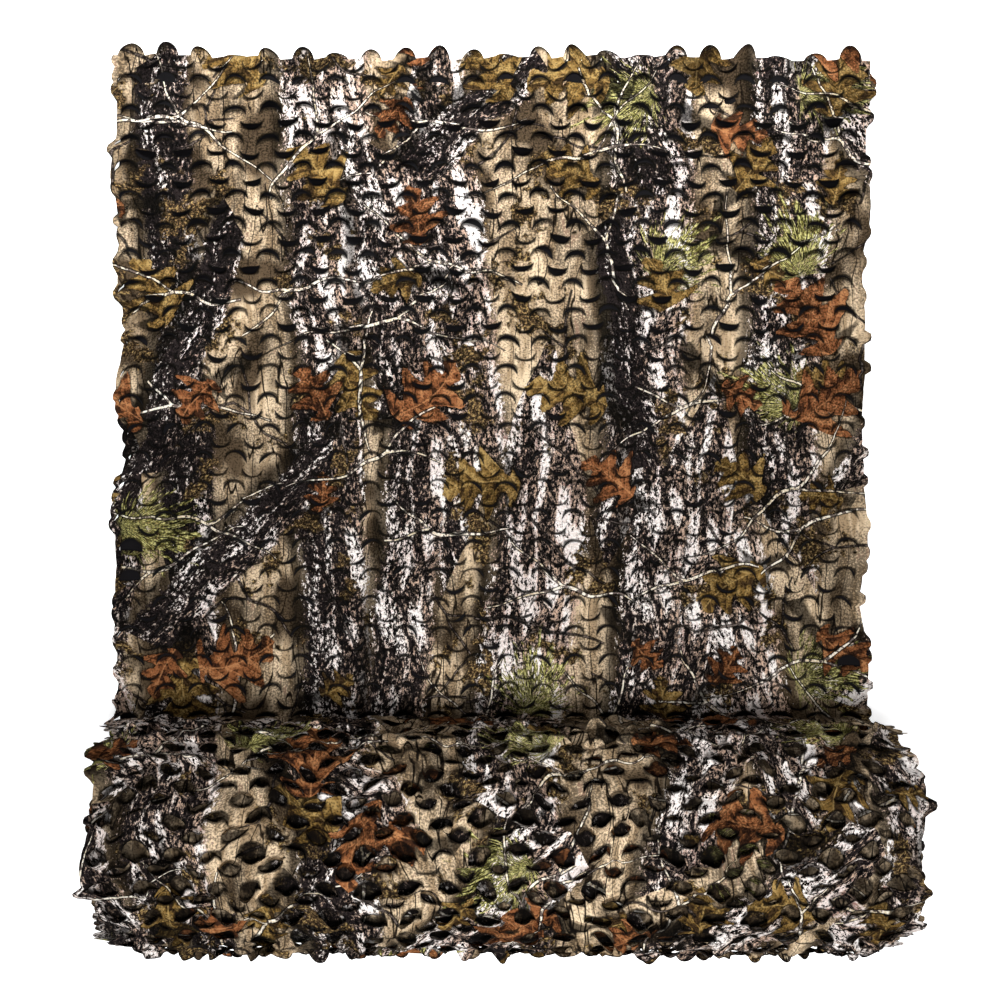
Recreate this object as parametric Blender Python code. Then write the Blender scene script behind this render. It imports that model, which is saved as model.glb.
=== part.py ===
"""Camouflage net: a leaf-cut cloth 1.5 m wide, laid out flat from its roll, the far end turned under.

Metres, +Z up. X runs across the net and Y along it, from the roll (-Y) to the turned-under end (+Y).
The floor is z = 0 and the origin ends up at the middle of the net's outline on that floor.
The cloth is one piece, so it is one solid: a thin sheet that lies flat, climbs the back of the roll
and passes into the wound body. While it is built, y = 0 is the roll's axis.
"""

import math

import bmesh
import bpy
from mathutils import Vector

# The cloth and its leaves.
NET_WIDTH = 1.500
CLOTH_THICKNESS = 0.003
LEAF_PITCH_ACROSS = 0.0682
LEAF_PITCH_ALONG = 0.0583
LEAF_RADIUS = 0.022
LEAF_LIFT = 0.012

# The laid part, from the foot of the roll to the fold at the far end.
LAID_LENGTH = 1.290
FOLD_RADIUS = 0.0023
FOLD_RISE_LENGTH = 0.075
TURNED_UNDER = 0.060
GROUND_WAVE = 0.0025

# The leaves that stand out past the fold, since the cloth turns under behind them.
FOLD_LEAF_REACH = 0.030
FOLD_LEAF_THICKNESS = 0.0024
FOLD_LEAF_SEGMENTS = 8

# The roll, sagged a little under its own weight.
ROLL_DEPTH = 0.402
ROLL_HEIGHT = 0.392
FLAT_SPOT_DROP = 0.008
ROLL_SIDESTEP = 0.026
ROLL_LEAF_LIFT = 0.009
ROLL_SWELL = 0.004
END_ROUNDING = 0.012
FRONT_DRAWN_IN = {"left": 0.042, "right": 0.022}

# The outer turn, which hangs from the back of the roll to its foot on the floor.
FOOT_CURVE = 0.036
BACK_OFFSET = 0.0015
SINK_LENGTH = 0.055
SINK_DEPTH = 0.011

# The wound ends.
WINDING_PITCH = 0.062
WINDING_DEPTH = 0.014
END_RINGS = 8
END_INSET = 0.004

# How far each side edge of the laid part strays outwards (+) or inwards (-), by distance from the roll's foot.
EDGE_COLUMNS = ("distance", "left", "right")
EDGE_STRAY = (
    (0.00, 0.004, 0.006),
    (0.10, 0.004, 0.002),
    (0.20, 0.007, -0.010),
    (0.31, 0.007, 0.000),
    (0.40, 0.006, 0.002),
    (0.47, -0.012, -0.002),
    (0.53, -0.018, -0.010),
    (0.58, 0.004, -0.008),
    (0.66, 0.000, 0.004),
    (0.74, -0.013, -0.004),
    (0.83, -0.004, -0.008),
    (0.95, 0.003, 0.008),
    (1.04, 0.014, 0.002),
    (1.13, 0.002, 0.004),
    (1.22, 0.010, 0.006),
    (1.30, -0.002, 0.010),
)

COLUMNS = round(NET_WIDTH / LEAF_PITCH_ACROSS)
LAID_ROWS = round(LAID_LENGTH / LEAF_PITCH_ALONG)
FOLD_ROWS = 2

HALF_CLOTH = CLOTH_THICKNESS / 2
ROLL_HALF_DEPTH = ROLL_DEPTH / 2
ROLL_HALF_HEIGHT = (ROLL_HEIGHT + FLAT_SPOT_DROP) / 2
ROLL_AXIS_Z = ROLL_HEIGHT - ROLL_HALF_HEIGHT
BACK_OF_ROLL = ROLL_HALF_DEPTH + BACK_OFFSET
FOOT_FROM_AXIS = BACK_OF_ROLL + FOOT_CURVE
FOOT_TURN_LENGTH = FOOT_CURVE * math.pi / 2
HANGING_LENGTH = ROLL_AXIS_Z - HALF_CLOTH - FOOT_CURVE
CLIMB_LENGTH = FOOT_TURN_LENGTH + HANGING_LENGTH + SINK_LENGTH
CLIMB_ROWS = round(CLIMB_LENGTH / LEAF_PITCH_ALONG)
FOLD_START = LAID_LENGTH - FOLD_RADIUS
FOLD_LENGTH = math.pi * FOLD_RADIUS

# The roll's skin has a row of leaves, tips towards and away in turn, for each half of the pitch along.
# Its underside and the part behind the hanging turn are plain, with rows twice as far apart.
SKIN_ROWS = round(math.pi * (ROLL_DEPTH + ROLL_HEIGHT) / LEAF_PITCH_ALONG)
FIRST_LEAF_ROW = round(SKIN_ROWS * 14 / 360)
LAST_LEAF_ROW = round(SKIN_ROWS * 244 / 360)
PLAIN_ROW_STEP = 2


def clear_scene():
    """Empties the scene that the script starts in."""
    for obj in list(bpy.data.objects):
        bpy.data.objects.remove(obj)


def cloth_material(name, colour):
    """A matt woven cloth."""
    material = bpy.data.materials.new(name)
    material.use_nodes = True
    shader = material.node_tree.nodes["Principled BSDF"]
    shader.inputs["Base Color"].default_value = (*colour, 1.0)
    shader.inputs["Roughness"].default_value = 0.85
    shader.inputs["Metallic"].default_value = 0.0
    return material


def smooth_step(low, high, value):
    """0 below low, 1 above high, with a soft change between."""
    share = min(1.0, max(0.0, (value - low) / (high - low)))
    return share * share * (3 - 2 * share)


def edge_stray(distance, side):
    """How far a side edge strays at this distance from the foot, by linear steps through EDGE_STRAY."""
    column = EDGE_COLUMNS.index(side)
    if distance <= EDGE_STRAY[0][0]:
        return EDGE_STRAY[0][column]
    for before, after in zip(EDGE_STRAY, EDGE_STRAY[1:]):
        if distance <= after[0]:
            share = (distance - before[0]) / (after[0] - before[0])
            return before[column] + share * (after[column] - before[column])
    return EDGE_STRAY[-1][column]


def skin_offset(across, y, z):
    """How far the roll's skin swells from its plain section, nothing at its back and towards the floor."""
    swell = math.sin(across * 11 + 9 * z) * math.cos(across * 5 - 14 * y)
    fade = smooth_step(ROLL_HALF_DEPTH - 0.004, ROLL_HALF_DEPTH - 0.03, y) * smooth_step(0.03, 0.09, z)
    return ROLL_SWELL * swell * fade


def cloth_section(distance):
    """(y, z, normal) of the middle of the cloth, at this distance along it from the foot, negative up the roll."""
    if distance < -FOOT_TURN_LENGTH - HANGING_LENGTH:
        climbed = -distance - FOOT_TURN_LENGTH - HANGING_LENGTH
        turn = climbed / ROLL_HALF_DEPTH
        sunk = SINK_DEPTH * smooth_step(0.0, SINK_LENGTH, climbed)
        y = (BACK_OF_ROLL - sunk) * math.cos(turn)
        z = ROLL_AXIS_Z + (ROLL_HALF_HEIGHT + BACK_OFFSET - sunk) * math.sin(turn)
        return y, z, Vector((0, math.cos(turn), math.sin(turn)))
    if distance < -FOOT_TURN_LENGTH:
        return BACK_OF_ROLL, HALF_CLOTH + FOOT_CURVE - distance - FOOT_TURN_LENGTH, Vector((0, 1, 0))
    if distance < 0:
        turn = -distance / FOOT_CURVE
        y = FOOT_FROM_AXIS - FOOT_CURVE * math.sin(turn)
        return y, HALF_CLOTH + FOOT_CURVE * (1 - math.cos(turn)), Vector((0, math.sin(turn), math.cos(turn)))
    if distance <= FOLD_START:
        rise = 2 * FOLD_RADIUS * smooth_step(FOLD_START - FOLD_RISE_LENGTH, FOLD_START, distance)
        return FOOT_FROM_AXIS + distance, HALF_CLOTH + rise, Vector((0, 0, 1))
    if distance <= FOLD_START + FOLD_LENGTH:
        turn = (distance - FOLD_START) / FOLD_RADIUS
        y = FOOT_FROM_AXIS + FOLD_START + FOLD_RADIUS * math.sin(turn)
        return y, HALF_CLOTH + FOLD_RADIUS * (1 + math.cos(turn)), Vector((0, math.sin(turn), math.cos(turn)))
    back = distance - FOLD_START - FOLD_LENGTH
    return FOOT_FROM_AXIS + FOLD_START - back, HALF_CLOTH, Vector((0, 0, -1))


def place_cloth(across, distance, lift):
    """A point of the cloth: across from -0.5 to 0.5, distance from the foot, and lift off its upper side."""
    y, z, normal = cloth_section(distance)
    side = "left" if across < 0 else "right"
    stray = edge_stray(min(distance, LAID_LENGTH), side) * smooth_step(0.30, 0.5, abs(across))
    tucked = END_ROUNDING * smooth_step(0.10, 0.19, z)
    x = across * (NET_WIDTH - 2 * tucked) + math.copysign(stray, across) * (1 - smooth_step(0.05, 0.15, z))
    x += ROLL_SIDESTEP * smooth_step(0.02, 0.20, z)
    on_ground = smooth_step(0.02, 0.10, distance) * smooth_step(0.0, 0.10, LAID_LENGTH - distance)
    wave = GROUND_WAVE * on_ground * (1 + math.sin(x / 0.071 + 5 * y) * math.sin(y / 0.093 + 3 * x))
    fold_wander = 0.004 * math.sin(x * 6.0) - 0.004 * across
    y += fold_wander * smooth_step(LAID_LENGTH - 0.2, LAID_LENGTH, distance)
    return Vector((x, y, z + wave)) + normal * lift


def grid_of(bm, columns, distances):
    """A flat grid whose X is the place across, -0.5 to 0.5, and whose Y is each distance in turn."""
    rows = len(distances) - 1
    bmesh.ops.create_grid(bm, x_segments=columns, y_segments=rows, size=0.5)
    for vert in bm.verts:
        vert.co.y = distances[round((vert.co.y + 0.5) * rows)]


def cut_leaf(bm, face, lift):
    """Cuts one leaf in a grid face: it stays held at its straight side, and its tip, towards the roll, is lifted."""
    centre = face.calc_center_median()
    bmesh.ops.inset_individual(bm, faces=[face], thickness=0.2 / COLUMNS)
    for end in (0, -1):
        across = sorted(face.edges, key=lambda edge: edge.verts[0].co.y + edge.verts[1].co.y)
        bmesh.ops.subdivide_edges(bm, edges=[across[end]], cuts=1)
    corners = [loop.vert for loop in face.loops]
    start = max(range(len(corners)), key=lambda n: corners[n].co.x + corners[n].co.y)
    # Round the gap from one root of the leaf to the other and back: the lifted leaf, then the cloth's edge.
    rim = (
        (-1.0, 0.0, 0.0),
        (-0.05, 0.72, 1.0),
        (1.0, 0.0, 0.0),
        (0.74, 0.68, 0.0),
        (0.0, 1.0, 0.0),
        (-0.74, 0.68, 0.0),
    )
    for step, (sideways, forwards, raised) in enumerate(rim):
        vert = corners[(start + step) % len(corners)]
        vert.co.x = centre.x - sideways * LEAF_RADIUS / NET_WIDTH
        vert.co.y = centre.y - (forwards - 0.5) * LEAF_RADIUS
        vert.co.z = lift * raised
    bmesh.ops.delete(bm, geom=[face], context="FACES_ONLY")


def cloth_sheet():
    """The cloth from its turned-under end to where it passes into the roll.

    Its larger gaps, whose leaves point at the roll, are cut through at twice their pitch both ways.
    """
    bm = bmesh.new()
    distances = [-CLIMB_LENGTH * (1 - row / CLIMB_ROWS) for row in range(CLIMB_ROWS)]
    distances += [FOLD_START * row / LAID_ROWS for row in range(LAID_ROWS)]
    distances += [FOLD_START + FOLD_LENGTH * row / FOLD_ROWS for row in range(FOLD_ROWS + 1)]
    distances.append(FOLD_START + FOLD_LENGTH + TURNED_UNDER)
    grid_of(bm, COLUMNS, distances)
    for face in list(bm.faces):
        centre = face.calc_center_median()
        column = round((centre.x + 0.5) * COLUMNS - 0.5)
        row = sum(distance < centre.y for distance in distances) - 1
        if 0 < column < COLUMNS - 1 and 1 < row < CLIMB_ROWS + LAID_ROWS - 1 and not row % 2:
            if column % 2 == row // 2 % 2:
                cut_leaf(bm, face, LEAF_LIFT * (1 + 0.35 * math.sin(2.4 * column + 1.7 * row)))
    for vert in bm.verts:
        vert.co = place_cloth(*vert.co)
    return bm


def fold_leaves():
    """The rounded leaves in a row that stand out past the fold, each rooted in the cloth's upper layer."""
    bm = bmesh.new()
    for column in range(1, COLUMNS - 1):
        reach = FOLD_LEAF_REACH * (1 + 0.30 * math.sin(2.7 * column) + 0.12 * math.sin(5.3 * column))
        root = place_cloth((column + 0.5) / COLUMNS - 0.5, FOLD_START, FOLD_LEAF_THICKNESS / 2)
        disc = bmesh.ops.create_circle(bm, cap_ends=True, segments=FOLD_LEAF_SEGMENTS, radius=LEAF_RADIUS)
        for vert in disc["verts"]:
            outwards = max(0.0, vert.co.y / LEAF_RADIUS)
            vert.co.x *= 1 - 0.08 * outwards
            vert.co.y = reach * outwards if outwards > 0.01 else -0.006
            vert.co.z = 0.20 * reach * outwards * math.sin(1.3 * column) ** 2
            vert.co += root
    bmesh.ops.remove_doubles(bm, verts=bm.verts, dist=0.00005)
    made = bmesh.ops.extrude_face_region(bm, geom=list(bm.faces))["geom"]
    lowered = [item for item in made if isinstance(item, bmesh.types.BMVert)]
    bmesh.ops.translate(bm, verts=lowered, vec=(0, 0, -FOLD_LEAF_THICKNESS))
    bmesh.ops.recalc_face_normals(bm, faces=bm.faces)
    return bm


def skin_section(station):
    """(y, z) of the roll's section, at this station of SKIN_ROWS: from its back over the top to the front."""
    turn = 2 * math.pi * station / SKIN_ROWS
    return ROLL_HALF_DEPTH * math.cos(turn), max(0.0, ROLL_AXIS_Z + ROLL_HALF_HEIGHT * math.sin(turn))


def place_skin(across, station, lift):
    """A point of the roll's skin, rounded off at the ends and drawn in there on the roll's front."""
    y, z = skin_section(station)
    outwards = Vector((0, y, z - ROLL_AXIS_Z)).normalized()
    near_end = smooth_step(0.46, 0.5, abs(across))
    rounding = END_ROUNDING * near_end * smooth_step(0.0, 0.06, z)
    drawn_in = FRONT_DRAWN_IN["left" if across < 0 else "right"] * smooth_step(-0.02, -ROLL_HALF_DEPTH, y)
    x = across * (NET_WIDTH - 2 * END_INSET)
    x -= math.copysign(drawn_in * smooth_step(0.25, 0.5, abs(across)), across)
    x += ROLL_SIDESTEP * smooth_step(0.02, 0.20, z)
    point = Vector((x, y, z)) + outwards * (skin_offset(across, y, z) - rounding + lift)
    point.z = max(0.0, point.z)
    return point


def wind_end(bm, side):
    """Closes one end of the roll with a spiral ridge of its main turns."""
    rim = [edge for edge in bm.edges if edge.is_boundary and side * edge.verts[0].co.x > 0]
    for ring in range(1, END_RINGS + 1):
        made = bmesh.ops.extrude_edge_only(bm, edges=rim)["geom"]
        rim = [item for item in made if isinstance(item, bmesh.types.BMEdge)]
        shrink = 1 - 1 / (END_RINGS + 1 - ring + 0.4)
        for vert in (item for item in made if isinstance(item, bmesh.types.BMVert)):
            vert.co.y *= shrink
            vert.co.z = ROLL_AXIS_Z + (vert.co.z - ROLL_AXIS_Z) * shrink
            radius = math.hypot(vert.co.y, vert.co.z - ROLL_AXIS_Z)
            turn = math.atan2(vert.co.z - ROLL_AXIS_Z, vert.co.y) / (2 * math.pi)
            ridge = abs((radius / WINDING_PITCH - turn) % 1.0 - 0.5) - 0.25
            plane = side * (NET_WIDTH / 2 - END_INSET) + ROLL_SIDESTEP
            vert.co.x = 0.6 * vert.co.x + 0.4 * plane + side * WINDING_DEPTH * ridge
    last = {vert for edge in rim for vert in edge.verts}
    middle = sum((vert.co for vert in last), Vector()) / len(last)
    bmesh.ops.pointmerge(bm, verts=list(last), merge_co=middle)


def lift_leaf(bm, face, tip, lift):
    """Lifts one leaf of the roll's skin: the face gets a blunt tip, forwards if tip is 1 and back if it is -1."""
    centre = face.calc_center_median()
    bmesh.ops.inset_individual(bm, faces=[face], thickness=0.2 / COLUMNS)
    for vert in face.verts:
        sideways = math.copysign(0.55 * LEAF_RADIUS / NET_WIDTH, vert.co.x - centre.x)
        vert.co = Vector((centre.x + tip * 0.25 / COLUMNS + sideways, centre.y + 0.24 * tip, lift))


def wound_body():
    """The wound body: its skin carries the lifted tip of every leaf, and its ends the main turns."""
    bm = bmesh.new()
    stations = [0, *range(FIRST_LEAF_ROW, LAST_LEAF_ROW), *range(LAST_LEAF_ROW, SKIN_ROWS, PLAIN_ROW_STEP)]
    grid_of(bm, COLUMNS, stations + [SKIN_ROWS])
    for face in list(bm.faces):
        across, station, _ = face.calc_center_median()
        if FIRST_LEAF_ROW <= station < LAST_LEAF_ROW:
            uneven = 1 + 0.45 * math.sin(40 * across + 2.1 * station)
            lift_leaf(bm, face, 1 if int(station) % 2 else -1, ROLL_LEAF_LIFT * uneven)
    for vert in bm.verts:
        vert.co = place_skin(*vert.co)
    bmesh.ops.remove_doubles(bm, verts=bm.verts, dist=0.00005)
    for side in (-1, 1):
        wind_end(bm, side)
    bmesh.ops.recalc_face_normals(bm, faces=bm.faces)
    return bm


def object_from(bm, name, material):
    """A scene object that holds this mesh, shaded smooth but for its sharp edges."""
    mesh = bpy.data.meshes.new(name)
    bm.to_mesh(mesh)
    bm.free()
    mesh.shade_smooth()
    mesh.set_sharp_from_angle(angle=math.radians(40))
    mesh.materials.append(material)
    obj = bpy.data.objects.new(name, mesh)
    bpy.context.scene.collection.objects.link(obj)
    return obj


def join_helper(net, helper):
    """Joins a helper's solid to the net, and keeps the helper itself out of the part."""
    helper.hide_render = True
    helper.display_type = "WIRE"
    join = net.modifiers.new(helper.name, "BOOLEAN")
    join.operation = "UNION"
    join.solver = "EXACT"
    join.object = helper


def centre_on_origin(net, helpers):
    """Moves all objects so that the origin is at the middle of the net's outline, on the floor."""
    bpy.context.view_layer.update()
    shown = net.evaluated_get(bpy.context.evaluated_depsgraph_get())
    corners = [shown.matrix_world @ vert.co for vert in shown.data.vertices]
    middle_x = (min(c.x for c in corners) + max(c.x for c in corners)) / 2
    middle_y = (min(c.y for c in corners) + max(c.y for c in corners)) / 2
    for obj in (net, *helpers):
        obj.location.x -= middle_x
        obj.location.y -= middle_y


def main():
    clear_scene()
    material = cloth_material("leaf-cut cloth", (0.21, 0.17, 0.11))
    net = object_from(cloth_sheet(), "camouflage_net", material)
    thickness = net.modifiers.new("thickness", "SOLIDIFY")
    thickness.thickness = CLOTH_THICKNESS
    thickness.offset = 0.0
    helpers = [
        object_from(wound_body(), "wound_body", material),
        object_from(fold_leaves(), "fold_leaves", material),
    ]
    for helper in helpers:
        join_helper(net, helper)
    centre_on_origin(net, helpers)


main()
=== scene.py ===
"""Camouflage net: a length of printed, leaf-cut cloth, partly laid out flat and partly on its roll.

The net lies on a plain floor with the roll at its near (-Y) end and is seen from straight above. Each
half-moon cut makes a leaf that stays held at its straight side, with its tip to the far or the near end in
turn. The cloth is printed on its face with generic leaves, bark, blades and twigs, and its back is bare.
"""

import logging
import math
from dataclasses import dataclass, field
from enum import Enum

import bmesh
import bpy
import numpy as np
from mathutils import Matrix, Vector

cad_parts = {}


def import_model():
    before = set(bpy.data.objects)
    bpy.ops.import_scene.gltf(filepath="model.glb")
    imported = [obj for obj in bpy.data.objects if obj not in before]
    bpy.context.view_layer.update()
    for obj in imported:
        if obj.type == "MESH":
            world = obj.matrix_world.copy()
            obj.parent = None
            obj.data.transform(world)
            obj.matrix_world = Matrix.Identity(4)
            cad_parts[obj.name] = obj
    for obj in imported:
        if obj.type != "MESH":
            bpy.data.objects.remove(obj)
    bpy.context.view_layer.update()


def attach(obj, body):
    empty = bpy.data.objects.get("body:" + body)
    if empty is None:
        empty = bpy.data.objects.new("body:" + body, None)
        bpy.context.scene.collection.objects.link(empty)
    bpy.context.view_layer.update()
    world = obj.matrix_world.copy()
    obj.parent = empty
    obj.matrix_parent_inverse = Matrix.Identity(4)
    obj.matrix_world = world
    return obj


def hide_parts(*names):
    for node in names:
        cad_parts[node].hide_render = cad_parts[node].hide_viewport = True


Array = np.ndarray
Socket = bpy.types.NodeSocket
Place = tuple[float, float, float]
Colour = tuple[float, float, float, float]

LOG = logging.getLogger("camouflage_net")

ROLL_CENTRE = np.array([-0.0034, -0.6838, 0.0])
"""Where the roll's axis and the cloth's middle line stand on the floor, in the frame's metres."""


def smooth_step(low: float, high: float, value: Array) -> Array:
    """Soft change from 0 at low to 1 at high.

    Args:
        low: Value where the change starts. It may be above high.
        high: Value where the change ends.
        value: Values to read.

    Returns:
        Shares from 0 to 1.
    """
    share = np.clip((np.asarray(value, float) - low) / (high - low), 0.0, 1.0)
    return share * share * (3 - 2 * share)


def paint(red: int, green: int, blue: int) -> Colour:
    """Turns a colour as a paint chart gives it into the linear one that shaders take.

    Args:
        red: Red, 0 to 255.
        green: Green, 0 to 255.
        blue: Blue, 0 to 255.

    Returns:
        The linear colour, with full alpha.
    """
    parts = [part / 255 for part in (red, green, blue)]
    linear = [part / 12.92 if part <= 0.04045 else ((part + 0.055) / 1.055) ** 2.4 for part in parts]
    return (linear[0], linear[1], linear[2], 1.0)


# ---------------------------------------------------------------- the cut cloth


class Tip(Enum):
    """Which way the tips of a row of leaves point on the cloth."""

    FAR = 1
    NEAR = -1


@dataclass(frozen=True)
class Lattice:
    """The fine mesh of the cloth: eight columns and eight lines of it make one repeat of the cuts."""

    across: float = 0.0682
    along: float = 0.0583
    cells: int = 8
    repeats_across: int = 22
    first_line: int = 4

    @property
    def column(self) -> float:
        """Width of one column, in metres."""
        return self.across / self.cells

    @property
    def line(self) -> float:
        """Length of one line, in metres."""
        return self.along / self.cells

    @property
    def columns(self) -> int:
        """Columns in the whole width."""
        return self.cells * self.repeats_across

    @property
    def width(self) -> float:
        """Width of the cloth, in metres."""
        return self.across * self.repeats_across


LATTICE = Lattice()

LEAF_COLUMNS = 5
"""Lattice columns that a leaf spans."""

LAID_LINES = 186
"""Lattice lines from the roll's foot to the end that is turned under."""

TURN_LINES = 196
"""Lattice lines from the foot up the roll's back and once round it."""

OUTER_END = -1.43
"""Where the outer turn ends and the inner turns start, in metres from the foot."""


@dataclass(frozen=True)
class LeafRow:
    """The leaves of one row of a repeat: their place on the lattice and their rounded size."""

    tip: Tip
    first_column: int
    hinge_line: int
    lines: int
    half_width: float
    length: float

    def shares(self, column: Array, line: Array) -> tuple[Array, ...]:
        """Place of lattice points beside the nearest leaf of this row.

        Args:
            column: Lattice columns from the left edge.
            line: Lattice lines, counted from a repeat's start.

        Returns:
            Sideways share (-1 to 1 inside the leaf), share from hinge (0) to tip (1), and the leaf's number
            across and along.
        """
        middle = self.first_column + LEAF_COLUMNS / 2
        sideways = (column - middle + LATTICE.cells / 2) % LATTICE.cells - LATTICE.cells / 2
        behind = 2.5 if self.tip is Tip.FAR else 3.0
        outwards = (self.tip.value * (line - self.hinge_line) + behind) % LATTICE.cells - behind
        number = np.rint((column - middle - sideways) / LATTICE.cells).astype(int)
        row = np.rint((line - self.hinge_line - self.tip.value * outwards) / LATTICE.cells).astype(int)
        return sideways * 2 / LEAF_COLUMNS, outwards / self.lines, number, row

    def rounded(self, sideways: Array, outwards: Array) -> tuple[Array, Array]:
        """Maps the leaf's lattice rectangle onto its half-moon.

        Args:
            sideways: Share across the leaf, -1 to 1.
            outwards: Share from hinge to tip, 0 to 1.

        Returns:
            Metres sideways from the leaf's middle line and metres out from its hinge.
        """
        x = self.half_width * sideways * np.sqrt(1 - outwards**2 / 2)
        y = self.length * outwards * np.sqrt(1 - sideways**2 / 2)
        return x, y

    def number_at(self, column: float) -> int:
        """Number across of the leaf nearest to a lattice column."""
        return round((column - self.first_column - LEAF_COLUMNS / 2) / LATTICE.cells)

    def whole(self, number: Array) -> Array:
        """Whether leaves lie within the cloth's width, by their number across. The others aren't cut."""
        left = np.asarray(number) * LATTICE.cells + self.first_column
        return (left >= 0) & (left + LEAF_COLUMNS <= LATTICE.columns)

    def spans_column(self, column: int) -> bool:
        """Whether the row's leaves span a lattice column."""
        return (column - self.first_column) % LATTICE.cells < LEAF_COLUMNS

    def spans_line(self, line: int) -> bool:
        """Whether the row's leaves span a line of the repeat."""
        low = self.hinge_line if self.tip is Tip.FAR else self.hinge_line - self.lines
        return (line - low) % LATTICE.cells < self.lines

    def bow(self, sideways: Array, outwards: Array) -> Array:
        """Share, by place beside the leaf, in which its hinge line bows away from its tip."""
        return np.clip(1 - sideways**2, 0, 1) * np.clip(1 - np.abs(outwards) / 0.6, 0, 1)

    def pull(self, sideways: Array, outwards: Array) -> tuple[Array, Array]:
        """How far the cloth's lattice is drawn aside round the leaf, to round its cut.

        Args:
            sideways: Share across the leaf.
            outwards: Share from hinge to tip.

        Returns:
            Metres across and metres out towards the tip.
        """
        reach = np.maximum(np.maximum(np.abs(sideways), outwards), 1.0)
        fade = np.clip(1 - (reach - 1) / 0.6, 0, 1) * np.clip(1 + outwards / 0.75, 0, 1)
        s, t = sideways / reach, np.maximum(outwards, 0) / reach
        x, y = self.rounded(s, t)
        flat_x = s * LATTICE.column * LEAF_COLUMNS / 2
        flat_y = t * LATTICE.line * self.lines
        return (x - flat_x) * fade, (y - flat_y) * fade


LEAF_ROWS = (
    LeafRow(Tip.FAR, first_column=1, hinge_line=5, lines=3, half_width=0.0225, length=0.0240),
    LeafRow(Tip.NEAR, first_column=5, hinge_line=4, lines=2, half_width=0.0210, length=0.0200),
)


class ClothPath:
    """The line that the cloth follows, seen from the side, by distance along it from the roll's foot."""

    def __init__(self, y: Array, z: Array, foot: int) -> None:
        """Measures the line.

        Args:
            y: Its points' Y beside the roll's axis.
            z: Its points' heights.
            foot: Number of the point where the distance is 0.
        """
        self.y, self.z = y, z
        steps = np.hypot(np.diff(y), np.diff(z))
        self.distance = np.concatenate([[0.0], np.cumsum(steps)])
        self.distance -= self.distance[foot]
        slope_y, slope_z = np.gradient(y, self.distance), np.gradient(z, self.distance)
        size = np.hypot(slope_y, slope_z)
        self.slope_y, self.slope_z = slope_y / size, slope_z / size

    def at(self, distance: Array) -> tuple[Array, ...]:
        """Points and directions of the line.

        Args:
            distance: Metres along it from the foot.

        Returns:
            Y, height, and the two parts of the unit direction along the line.
        """
        columns = (self.y, self.z, self.slope_y, self.slope_z)
        return tuple(np.interp(distance, self.distance, column) for column in columns)


@dataclass(frozen=True)
class Roll:
    """Sizes of the roll, as its CAD solid has them, and of the cloth that leads to and from it."""

    half_depth: float = 0.201
    half_height: float = 0.200
    axis_height: float = 0.192
    back_offset: float = 0.0015
    foot_curve: float = 0.034
    laid_height: float = 0.0035
    floor_height: float = 0.0010
    fold_radius: float = 0.0022
    fold_start: float = 1.28989
    turned_under: float = 0.060
    turn_pitch: float = 0.0069
    first_pitch: float = 0.0085
    core_radius: float = 0.016
    sidestep: float = 0.026
    end_rounding: float = 0.012
    front_drawn_in: tuple[float, float] = (0.042, 0.022)
    swell: float = 0.004
    unevenness: float = 0.0100
    puffed: float = 0.0036

    def outer_radius_share(self, turn: Array) -> Array:
        """Share of the outer radius that is left after this much winding, in radians."""
        first = self.first_pitch * smooth_step(1.5 * math.pi, 2.1 * math.pi, turn)
        later = self.turn_pitch * np.maximum(turn - 2 * math.pi, 0) / (2 * math.pi)
        return 1 - (first + later) / self.half_depth

    def winding(self, start: float, end: float, steps: int) -> tuple[Array, Array]:
        """Points of the winding, from its back over the top and round inwards.

        Args:
            start: First angle, in radians from the back.
            end: Last angle.
            steps: Number of steps between them.

        Returns:
            Y beside the axis and height of each point.
        """
        turn = np.linspace(start, end, steps + 1)
        share = self.outer_radius_share(turn)
        behind = self.back_offset * np.clip(1 - turn / 0.5, 0, 1)
        y = (self.half_depth + behind) * share * np.cos(turn)
        z = self.axis_height + self.half_height * share * np.sin(turn)
        level = self.floor_height + 0.003 * np.maximum(turn - 1.5 * math.pi, 0) / math.pi
        return y, np.maximum(z, level)

    def cloth_path(self) -> ClothPath:
        """Line of the cloth from inside the roll, round it, down to the foot, and out to the far fold.

        Returns:
            The line.
        """
        y, z = self.winding(2 * math.pi - 0.06, 0.0, 900)
        back = self.half_depth + self.back_offset
        low = self.laid_height + self.foot_curve
        wall = np.linspace(self.axis_height, low, 60)[1:]
        y, z = np.append(y, np.full(wall.size, back)), np.append(z, wall)
        bend = np.linspace(0, math.pi / 2, 40)[1:]
        y = np.append(y, back + self.foot_curve * (1 - np.cos(bend)))
        z = np.append(z, low - self.foot_curve * np.sin(bend))
        foot = y.size - 1
        out = np.linspace(0, self.fold_start, 500)[1:]
        top = 2 * self.fold_radius + self.floor_height
        rise = (top - self.laid_height) * smooth_step(self.fold_start - 0.075, self.fold_start, out)
        y, z = np.append(y, y[foot] + out), np.append(z, self.laid_height + rise)
        fold = np.linspace(0, math.pi, 24)[1:]
        y = np.append(y, y[foot] + self.fold_start + self.fold_radius * np.sin(fold))
        z = np.append(z, top - self.fold_radius * (1 - np.cos(fold)))
        under = np.linspace(0, self.turned_under, 12)[1:]
        y = np.append(y, y[foot] + self.fold_start - under)
        return ClothPath(y, np.append(z, np.full(under.size, self.floor_height)), foot)

    def wound_path(self) -> ClothPath:
        """Line of the inner turns, from the end of the outer one to the core."""
        turns = (self.half_depth - self.first_pitch - self.core_radius) / self.turn_pitch
        start = 2 * math.pi - 0.05
        y, z = self.winding(start, start + 2 * math.pi * turns, int(turns * 72))
        return ClothPath(y, z, 0)


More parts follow.
